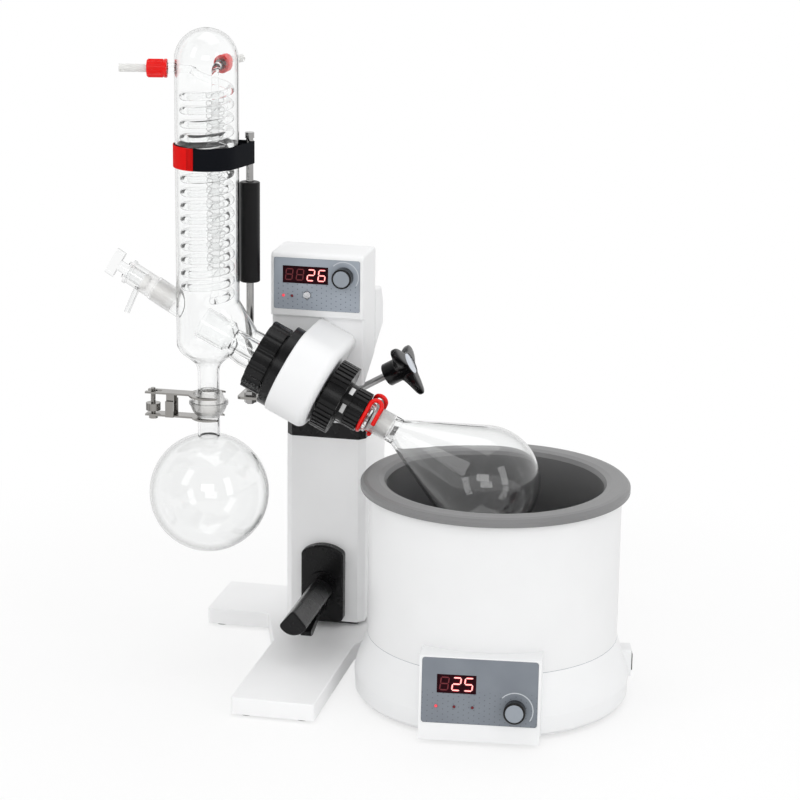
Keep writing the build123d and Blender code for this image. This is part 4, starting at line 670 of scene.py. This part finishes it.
# Star knob: each level is a distance along the rod, how far the arms stand out, and the hub's radius
STAR_ARM = 36.0 * MM
STAR_WAIST = 12.6 * MM
STAR_LEAN = math.radians(80)
STAR_LOBE = 2.3
STAR_LEVELS = (
    (55.5, 0.0, 11.6), (55.6, 0.0, 12.3), (56.6, 0.0, 13.0), (69.6, 0.0, 13.0), (71.4, 0.06, 13.0),
    (74.0, 0.32, 12.9), (76.6, 0.62, 12.7), (78.6, 0.86, 12.6), (80.2, 0.97, 12.6), (81.6, 1.0, 12.6),
    (84.0, 1.0, 12.6), (85.2, 0.98, 12.6), (86.0, 0.92, 12.7), (86.5, 0.74, 13.0), (86.7, 0.4, 13.4),
    (86.9, 0.1, 13.6), (86.95, 0.0, 13.2), (86.95, 0.0, 12.3), (86.0, 0.0, 12.2))
STAR_CAP = ((0, 85.9), (12.1, 85.9), (12.1, 86.5), (11.5, 86.8), (0, 86.9))


def star_knob():
    """Three flat tapering arms on a hub, with a bright cap let into the middle."""
    plane = along(STAR_AT, STAR_WAY)
    steps = 120
    build = bmesh.new()
    rings = []
    for height, reach, hub in STAR_LEVELS:
        ring = []
        for step in range(steps):
            angle = math.tau * step / steps
            lobe = ((1 + math.cos(3 * (angle - STAR_LEAN))) / 2) ** STAR_LOBE
            radius = hub * MM + lobe * reach * (STAR_ARM - STAR_WAIST)
            ring.append(build.verts.new(plane @ Vector((radius * math.cos(angle), radius * math.sin(angle),
                                                        height * MM))))
        rings.append(ring)
    for lower, upper in zip(rings, rings[1:]):
        for step in range(steps):
            after = (step + 1) % steps
            build.faces.new((lower[step], lower[after], upper[after], upper[step]))
    build.faces.new(rings[0])
    build.faces.new(rings[-1])
    made = piece("star_knob_body", solid(build, "star_knob_body"), "tilt_lock", gloss_black)
    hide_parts("star_knob")
    cap = lathe("star_knob_cap", metres(STAR_CAP), plane, 72)
    piece("star_knob_cap", cap, "tilt_lock", cap_silver)


star_knob()


# Geometry trees for what repeats
class Maker(Graph):
    """A geometry tree with named inputs that ends in Realize Instances and Set Material."""

    KINDS = {float: "NodeSocketFloat", int: "NodeSocketInt", tuple: "NodeSocketVector"}

    def __init__(self, name, finish, **sizes):
        super().__init__(bpy.data.node_groups.new(name, "GeometryNodeTree"))
        self.finish = finish
        self.sizes = sizes
        self.tree.interface.new_socket("Geometry", in_out="OUTPUT", socket_type="NodeSocketGeometry")
        self.keys = {}
        for label, value in sizes.items():
            made = self.tree.interface.new_socket(label, in_out="INPUT", socket_type=self.KINDS[type(value)])
            self.keys[label] = made.identifier
        source = self.tree.nodes.new("NodeGroupInput")
        self.given = {label: Wire(self, source.outputs[label]) for label in sizes}

    def close(self, instances):
        """The tree's result as a plain mesh, round the origin."""
        whole = self.node("GeometryNodeRealizeInstances", None, {0: instances})
        dressed = self.node("GeometryNodeSetMaterial", None, {"Geometry": whole, "Material": self.finish})
        end = self.tree.nodes.new("NodeGroupOutput")
        self.tree.links.new(dressed.socket, end.inputs[0])
        holder = bpy.data.objects.new(self.tree.name, bpy.data.meshes.new(self.tree.name))
        bpy.context.scene.collection.objects.link(holder)
        modifier = holder.modifiers.new("shape", "NODES")
        modifier.node_group = self.tree
        for label, value in self.sizes.items():
            modifier[self.keys[label]] = value
        mesh = bpy.data.meshes.new_from_object(holder.evaluated_get(bpy.context.evaluated_depsgraph_get()))
        mesh.name = self.tree.name
        bpy.data.objects.remove(holder)
        return mesh

    def ring_of(self, shape, count, radius):
        """Copies of a shape round a circle, each turned to face outwards."""
        circle = self.node("GeometryNodeMeshCircle", None, {"Vertices": count, "Radius": radius})
        turn = self.node("GeometryNodeInputIndex") * math.tau / count
        spin = self.node("ShaderNodeCombineXYZ", None, {"Z": turn})
        return self.node("GeometryNodeInstanceOnPoints", None,
                         {"Points": circle, "Instance": shape, "Rotation": spin})

    def row_of(self, shape, count, step):
        """Copies of a shape along the local z axis."""
        rise = self.node("ShaderNodeCombineXYZ", None, {"Z": step})
        line = self.node("GeometryNodeMeshLine", None, {"Count": count, "Offset": rise})
        return self.node("GeometryNodeInstanceOnPoints", None, {"Points": line, "Instance": shape})


def grip_ribs(name, finish, count, radius, length, size):
    """Ribs round a cap: small bars set into its side."""
    maker = Maker(name, finish, Count=count, Radius=radius, Length=length, Size=size)
    bar = maker.node("ShaderNodeCombineXYZ", None, {"X": maker.given["Size"], "Y": maker.given["Size"],
                                                    "Z": maker.given["Length"]})
    rib = maker.node("GeometryNodeMeshCube", None, {"Size": bar})
    turned = maker.node("GeometryNodeTransform", None,
                        {"Geometry": rib, "Rotation": (0, 0, math.radians(45))})
    return maker.close(maker.ring_of(turned, maker.given["Count"], maker.given["Radius"]))


def thread_rings(name, finish, count, radius, pitch):
    """The crests of a screw thread: thin rings along a stud."""
    maker = Maker(name, finish, Count=count, Radius=radius, Pitch=pitch)
    crest = maker.node("GeometryNodeCurvePrimitiveCircle", {"mode": "RADIUS"},
                       {"Resolution": 28, "Radius": maker.given["Radius"]})
    bead = maker.node("GeometryNodeCurvePrimitiveCircle", {"mode": "RADIUS"},
                      {"Resolution": 6, "Radius": maker.given["Pitch"] * 0.36})
    ring = maker.node("GeometryNodeCurveToMesh", None, {"Curve": crest, "Profile Curve": bead})
    return maker.close(maker.row_of(ring, maker.given["Count"], maker.given["Pitch"]))


def stitch_row(name, finish, count, step, size):
    """A row of stitches: small flattened beads along a seam."""
    maker = Maker(name, finish, Count=count, Step=step, Size=size)
    bead = maker.node("GeometryNodeMeshIcoSphere", None, {"Radius": maker.given["Size"], "Subdivisions": 2})
    flat = maker.node("GeometryNodeTransform", None, {"Geometry": bead, "Scale": (0.35, 0.7, 1.0)})
    return maker.close(maker.row_of(flat, maker.given["Count"], maker.given["Step"]))


def wound_tube(name, finish, turns, radius, height, bore):
    """A tube wound round the local z axis, closed at both ends."""
    maker = Maker(name, finish, Turns=turns, Radius=radius, Height=height, Bore=bore)
    path = maker.node("GeometryNodeCurveSpiral", None, {
        "Resolution": 36, "Rotations": maker.given["Turns"], "Start Radius": maker.given["Radius"],
        "End Radius": maker.given["Radius"], "Height": maker.given["Height"]})
    ring = maker.node("GeometryNodeCurvePrimitiveCircle", {"mode": "RADIUS"},
                      {"Resolution": 10, "Radius": maker.given["Bore"]})
    return maker.close(maker.node("GeometryNodeCurveToMesh", None,
                                  {"Curve": path, "Profile Curve": ring, "Fill Caps": True}))


# Inner coil, wound on the coil's straight return tube
RETURN_TUBE = CONDENSER + Vector((8.0, 4.0, 450.0)) * MM
INNER_TURNS = 29.0
INNER_R = 6.9 * MM
INNER_HEIGHT = 191.0 * MM
INNER_TUBE_R = 3.0 * MM
inner_coil = wound_tube("inner_coil", inner_glass, INNER_TURNS, INNER_R, INNER_HEIGHT, INNER_TUBE_R)
inner_coil.transform(Matrix.Translation(RETURN_TUBE))
piece("inner_coil", inner_coil, "drive", None)

# Red nozzle caps with grip ribs
NOZZLES = (("left", Vector((-0.97833, -0.20707, 0))), ("rear", Vector((0.140028, 0.990148, 0))))
NOZZLE_Z = 667.5 * MM
CAP_PROFILE = ((5.6, 41), (9.4, 41), (10.0, 41.6), (10.0, 44.0), (9.2, 44.8), (9.2, 61.8), (8.6, 62.6),
               (4.4, 62.8), (4.4, 58.2), (7.2, 58), (7.2, 53), (5.6, 53), (5.6, 41))
RIB_COUNT = 30
RIB_R, RIB_LENGTH, RIB_SIZE, RIB_ALONG = 9.12 * MM, 15.6 * MM, 0.95 * MM, 53.4 * MM


def nozzle_cap(name, way):
    plane = along(CONDENSER + UP * NOZZLE_Z, way)
    cap = lathe("cap_" + name, metres(CAP_PROFILE), plane)
    made = piece("cap_" + name, cap, "drive", gloss_red)
    ribs = grip_ribs("cap_ribs_" + name, gloss_red, RIB_COUNT, RIB_R, RIB_LENGTH, RIB_SIZE)
    ribs.transform(plane @ Matrix.Translation((0, 0, RIB_ALONG)))
    piece("cap_ribs_" + name, ribs, "drive", None, smooth=False)
    return made


caps = [nozzle_cap(name, way) for name, way in NOZZLES]
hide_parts("nozzle_caps")


# Strap: a black band round condenser and rod, with a stitched red end laid over it
BAND_IN = 34.25 * MM
ROD_IN = 4.05 * MM
TAPE = 1.2 * MM
RED_IN, RED_OUT = 1.15 * MM, 1.95 * MM
RED_FROM, RED_TO = math.radians(-98.7), math.radians(-215)
STITCH_ROWS, STITCHES = 5, 12
STITCH_STEP, STITCH_SIZE, STITCH_DEPTH, STITCH_LOW = 1.9 * MM, 0.72 * MM, 1.9 * MM, 1.7 * MM


def band_point(turn, grow):
    """A point of the strap's loop in plan, by its bearing from the condenser or the rod."""
    reach = ROD - CONDENSER
    lean = math.atan2(reach.y, reach.x)
    spread = math.acos((BAND_IN - ROD_IN) / reach.length)
    offset = (turn - lean + math.pi) % math.tau - math.pi
    centre, radius = (ROD, ROD_IN) if abs(offset) < spread else (CONDENSER, BAND_IN)
    return centre + Vector((math.cos(turn), math.sin(turn), 0)) * (radius + grow)


def band(name, start, end, inner, outer, low, high, finish, closed):
    """A strip of tape along the loop, with eased edges."""
    count = 144 if closed else 60
    ease = 0.25 * (outer - inner)
    section = ((inner, low), (outer - ease, low), (outer, low + 2 * ease), (outer, high - 2 * ease),
               (outer - ease, high), (inner, high))
    build = bmesh.new()
    rings = []
    for step in range(count):
        turn = start + (end - start) * step / (count if closed else count - 1)
        rings.append([build.verts.new(band_point(turn, grow) + UP * height) for grow, height in section])
    pairs = list(zip(rings, rings[1:] + rings[:1])) if closed else list(zip(rings, rings[1:]))
    for here, after in pairs:
        for step in range(len(section)):
            follow = (step + 1) % len(section)
            build.faces.new((here[step], after[step], after[follow], here[follow]))
    if not closed:
        build.faces.new(rings[0])
        build.faces.new(rings[-1])
    return piece(name, solid(build, name), "drive", finish)


strap = band("strap_black", 0.0, math.tau, 0.0, TAPE, STRAP_LOW.z, STRAP_HIGH.z, black_tape, True)
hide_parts("condenser_strap")
band("strap_red", RED_FROM, RED_TO, RED_IN, RED_OUT, STRAP_LOW.z, STRAP_HIGH.z, red_tape, False)
for line in range(STITCH_ROWS):
    bearing = RED_FROM - math.radians(1.4 + 2.6 * line)
    row = stitch_row("strap_stitches_%d" % line, stitch_red, STITCHES, STITCH_STEP, STITCH_SIZE)
    stagger = STITCH_STEP / 2 * (line % 2)
    spot = band_point(bearing, STITCH_DEPTH) + UP * (STRAP_LOW.z + STITCH_LOW + stagger)
    row.transform(Matrix.Translation(spot) @ Matrix.Rotation(bearing, 4, "Z"))
    piece("strap_stitches_%d" % line, row, "drive", None)

# Round foam sleeve on the rod, from its lower end to its upper one
PAD_END = ((4.1, 0.0), (10.2, 0.0), (11.0, 0.8), (11.0, 1.0))
lower_end = [(radius * MM, PAD_LOW.z + ease * MM) for radius, ease in PAD_END]
upper_end = [(radius * MM, PAD_HIGH.z - ease * MM) for radius, ease in reversed(PAD_END)]
sleeve = lathe("pad_sleeve", lower_end + upper_end + lower_end[:1], Matrix.Translation(ROD))
pad = piece("pad_sleeve", sleeve, "drive", pad_foam)
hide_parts("support_pad")

# Threads on the clamp's screw and the rod's lower end
THREADS = (("clamp_screw_thread", clamp_steel, SCREW_AT, 301.0, 15, 2.42, 1.0),
           ("rod_thread", rod_steel, ROD, 313.0, 12, 3.9, 0.9))
for name, finish, place, low, crests, radius, pitch in THREADS:
    thread = thread_rings(name, finish, crests, radius * MM, pitch * MM)
    thread.transform(Matrix.Translation((place.x, place.y, low * MM)))
    piece(name, thread, "drive", None)


# Sprung wire clip over the flask's mouth: two rings joined by a hairpin at each end
CLIP_S0, CLIP_S1 = 75.4, 88.3
CLIP_R0, CLIP_R1 = 19.0, 17.3
CLIP_ROD = 2.45
EAR_FROM, EAR_UP = 25.0, 10.4
BRIDGE_AT = -120
CLIP_BRIDGE = ((CLIP_S0, CLIP_R0), (CLIP_S0 + 1.2, 20.6), (CLIP_S0 + 4, 21.4), (CLIP_S1 - 4, 21.2),
               (CLIP_S1 - 1.2, 19.8), (CLIP_S1, CLIP_R1))


def clip_ring(along_by, radius, start, end):
    """Points of a ring round the drive axis; the angle runs from the viewer's side upwards."""
    count = max(2, int(abs(end - start) / 6) + 1)
    points = []
    for step in range(count):
        angle = math.radians(start + (end - start) * step / (count - 1))
        points.append((along_by, radius * math.cos(angle), radius * math.sin(angle)))
    return points


def clip_ear():
    """Points of the near hairpin, from the ring on the neck to the ring behind the flanges."""
    angle = math.radians(EAR_FROM)
    half = (CLIP_S1 - CLIP_S0) / 2
    points = []
    for step in range(13):
        turn = math.pi * step / 12
        radius = CLIP_R1 + (CLIP_R0 - CLIP_R1) * (1 - math.cos(turn)) / 2
        rise = EAR_UP + half * math.sin(turn)
        points.append((CLIP_S0 + half + half * math.cos(turn),
                       radius * math.cos(angle) - rise * math.sin(angle),
                       radius * math.sin(angle) + rise * math.cos(angle)))
    return points


def rods(name, runs, radius, sides=12):
    """Round rods along lists of points, with closed ends."""
    build = bmesh.new()
    for run in runs:
        rings = []
        side = None
        for step, spot in enumerate(run):
            way = (run[min(step + 1, len(run) - 1)] - run[max(step - 1, 0)]).normalized()
            if side is None:
                side = way.orthogonal()
            side = (side - way * side.dot(way)).normalized()
            over = way.cross(side)
            rings.append([build.verts.new(spot + (side * math.cos(math.tau * part / sides)
                                                  + over * math.sin(math.tau * part / sides)) * radius)
                          for part in range(sides)])
        for here, after in zip(rings, rings[1:]):
            for part in range(sides):
                follow = (part + 1) % sides
                build.faces.new((here[part], here[follow], after[follow], after[part]))
        build.faces.new(rings[0])
        build.faces.new(rings[-1])
    return solid(build, name)


def wire_clip():
    ear = clip_ear()
    far_ear = [(along_by, -near, rise) for along_by, near, rise in reversed(ear)]
    hoop = (clip_ring(CLIP_S1, CLIP_R1, -4, EAR_FROM) + ear
            + clip_ring(CLIP_S0, CLIP_R0, EAR_FROM, EAR_FROM - 230) + far_ear
            + clip_ring(CLIP_S1, CLIP_R1, 180 - EAR_FROM, 184))
    bridge = [clip_ring(along_by, radius, BRIDGE_AT, BRIDGE_AT)[0] for along_by, radius in CLIP_BRIDGE]
    runs = [hoop, clip_ring(CLIP_S1, CLIP_R1, -78, -122), bridge]
    placed = [[DRIVE_AT + (DRIVE_WAY * along_by + NEAR * near + LIFT * rise) * MM
               for along_by, near, rise in run] for run in runs]
    made = piece("wire_clip", rods("wire_clip", placed, CLIP_ROD * MM), "spinner", gloss_red)
    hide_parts("joint_clip")


wire_clip()


# Bright inserts behind the coupler's windows
def bars_around(name, finish, count, radius, size):
    """Small blocks round a circle."""
    maker = Maker(name, finish, Count=count, Radius=radius, Size=size)
    block = maker.node("GeometryNodeMeshCube", None, {"Size": maker.given["Size"]})
    return maker.close(maker.ring_of(block, maker.given["Count"], maker.given["Radius"]))


INSERT_COUNT = 6
INSERT_R = 17.4 * MM
INSERT_SIZE = (7.6 * MM, 10.6 * MM, 4.6 * MM)
INSERT_ALONG = 52.0 * MM
inserts = bars_around("coupler_inserts", stud_steel, INSERT_COUNT, INSERT_R, INSERT_SIZE)
inserts.transform(DRIVE_PLANE @ Matrix.Translation((0, 0, INSERT_ALONG)))
piece("coupler_inserts", inserts, "spinner", None, smooth=False)


# Drilled holes for a pin wrench round the union nut
HOLE_COUNT, HOLE_FIRST, HOLE_STEP = 5, 38.57, 77.14
HOLE_ALONG, HOLE_OUT = -52.5 * MM, 39.5 * MM
HOLE_CUP = ((0, -0.3), (1.5, -0.3), (1.5, 0.0), (1.75, 0.12), (2.1, 0.04), (2.1, -0.5), (0, -0.5))


def nut_hole(name, angle):
    """A dark cup with an eased rim."""
    turn = math.radians(angle)
    out = NEAR * math.cos(turn) + LIFT * math.sin(turn)
    plane = along(DRIVE_AT + DRIVE_WAY * HOLE_ALONG + out * HOLE_OUT, out)
    piece(name, lathe(name, metres(HOLE_CUP), plane, 32), "union_nut", gloss_black)


for step in range(HOLE_COUNT):
    nut_hole("nut_hole_%d" % step, HOLE_FIRST - HOLE_STEP * step)

# Seam between the bath's upper and lower shells
SEAM_LINE = ((135.3, 69.7), (135.56, 69.8), (135.56, 70.2), (135.3, 70.3), (135.3, 69.7))
seam = lathe("bath_seam", metres(SEAM_LINE), Matrix.Translation(BATH_AT), 192)
piece("bath_seam", seam, "bath", knob_grey)


# Stage, light and camera
AMBIENT = 0.8
FRONT_DIM = 0.22
FLOOR_SIZE = 6.0
FLOOR_MIDDLE = (0.06, -0.1, 0)
MIDDLE = Vector((0.05, -0.1, 0.3))
BACKGROUND_RAYS = ("Is Camera Ray", "Is Transmission Ray", "Is Glossy Ray")


def glow(graph, kind, strength):
    """White light from a background or a surface."""
    return graph.node(kind, None, {"Color": (1.0, 1.0, 1.0, 1.0), "Strength": strength})


def studio():
    """A white world for the camera, glass and metal, dimmer in reflections of the camera's side,
    and a plain level of light for the rest."""
    world = bpy.data.worlds.new("studio")
    bpy.context.scene.world = world
    world.use_nodes = True
    graph = Graph(world.node_tree)
    camera_ray, through, mirrored = [graph.node("ShaderNodeLightPath", output=name)
                                     for name in BACKGROUND_RAYS]
    way = graph.node("ShaderNodeTexCoord", output="Generated")
    depth = graph.node("ShaderNodeSeparateXYZ", None, {0: way}, 1)
    backdrop = graph.node("ShaderNodeMapRange", {"interpolation_type": "SMOOTHSTEP"},
                          {"Value": depth, "From Min": -0.55, "From Max": 0.25,
                           "To Min": FRONT_DIM, "To Max": 1.0})
    level = camera_ray.most(through).most(mirrored * backdrop).most((1 - mirrored) * AMBIENT)
    output = world.node_tree.nodes["World Output"]
    graph.plug(output.inputs["Surface"], glow(graph, "ShaderNodeBackground", level))


def floor():
    """A pale floor that keeps the object's shadow and meets the white background."""
    build = bmesh.new()
    bmesh.ops.create_grid(build, x_segments=1, y_segments=1, size=FLOOR_SIZE)
    mesh = solid(build, "floor")
    made = bpy.data.objects.new("floor", mesh)
    bpy.context.scene.collection.objects.link(made)
    finish = Finish("floor_white")
    cloud = finish.noise(3.0, 2.0)
    finish.set(Base_Color=finish.ramp(cloud, (0.3, (0.90, 0.90, 0.90)), (0.7, (0.92, 0.92, 0.92))),
               Roughness=0.9, Specular_IOR_Level=0.1)
    camera_ray, through, mirrored = [finish.node("ShaderNodeLightPath", output=name)
                                     for name in BACKGROUND_RAYS]
    seen = camera_ray.most(through).most(mirrored)
    bright = glow(finish, "ShaderNodeEmission", 1.0)
    away = finish.node("ShaderNodeMapRange", {"interpolation_type": "SMOOTHSTEP"},
                       {"Value": finish.spread(FLOOR_MIDDLE, UP), "From Min": 0.3, "From Max": 0.85,
                        "To Min": 0.7, "To Max": 1.0})
    blended = finish.node("ShaderNodeMixShader", None, {0: seen * away})
    mixer = blended.socket.node
    finish.tree.links.new(finish.shader.outputs[0], mixer.inputs[1])
    finish.tree.links.new(bright.socket, mixer.inputs[2])
    output = finish.tree.nodes["Material Output"]
    finish.plug(output.inputs["Surface"], blended)
    mesh.materials.append(finish.material)


def softbox(name, place, size, power):
    """A rectangular studio lamp aimed at the object's middle."""
    lamp = bpy.data.lights.new(name, "AREA")
    lamp.shape = "RECTANGLE"
    lamp.size, lamp.size_y = size
    lamp.energy = power
    made = bpy.data.objects.new(name, lamp)
    made.location = place
    made.rotation_euler = (MIDDLE - Vector(place)).to_track_quat("-Z", "Y").to_euler()
    bpy.context.scene.collection.objects.link(made)


def camera():
    """The photograph's viewpoint: turned by yaw, tipped by pitch, rolled about its own axis."""
    place = (0.661654, -2.735868, 1.048805)
    yaw, pitch, roll = -0.208911, 0.265727, 0.0131696
    ahead = Vector((math.sin(yaw) * math.cos(pitch), math.cos(yaw) * math.cos(pitch), -math.sin(pitch)))
    right = Vector((math.cos(yaw), -math.sin(yaw), 0))
    top = right.cross(ahead)
    across = right * math.cos(roll) + top * math.sin(roll)
    upward = top * math.cos(roll) - right * math.sin(roll)
    lens_data = bpy.data.cameras.new("viewpoint")
    lens_data.sensor_width = 36.0
    lens_data.lens = 116.54
    lens_data.clip_end = 50.0
    made = bpy.data.objects.new("viewpoint", lens_data)
    turned = Matrix((across, upward, -ahead)).transposed().to_4x4()
    made.matrix_world = Matrix.Translation(place) @ turned
    bpy.context.scene.collection.objects.link(made)
    bpy.context.scene.camera = made


studio()
floor()
softbox("key_left", (-1.5, -1.9, 1.9), (0.7, 1.5), 6.5)
softbox("fill_right", (1.9, -1.4, 1.2), (0.6, 1.5), 7.0)
softbox("front", (0.45, -2.6, 1.35), (1.2, 0.7), 8.0)
softbox("top", (0.1, 0.0, 2.3), (1.6, 1.2), 8.0)
camera()
bpy.context.scene.view_settings.view_transform = "Standard"
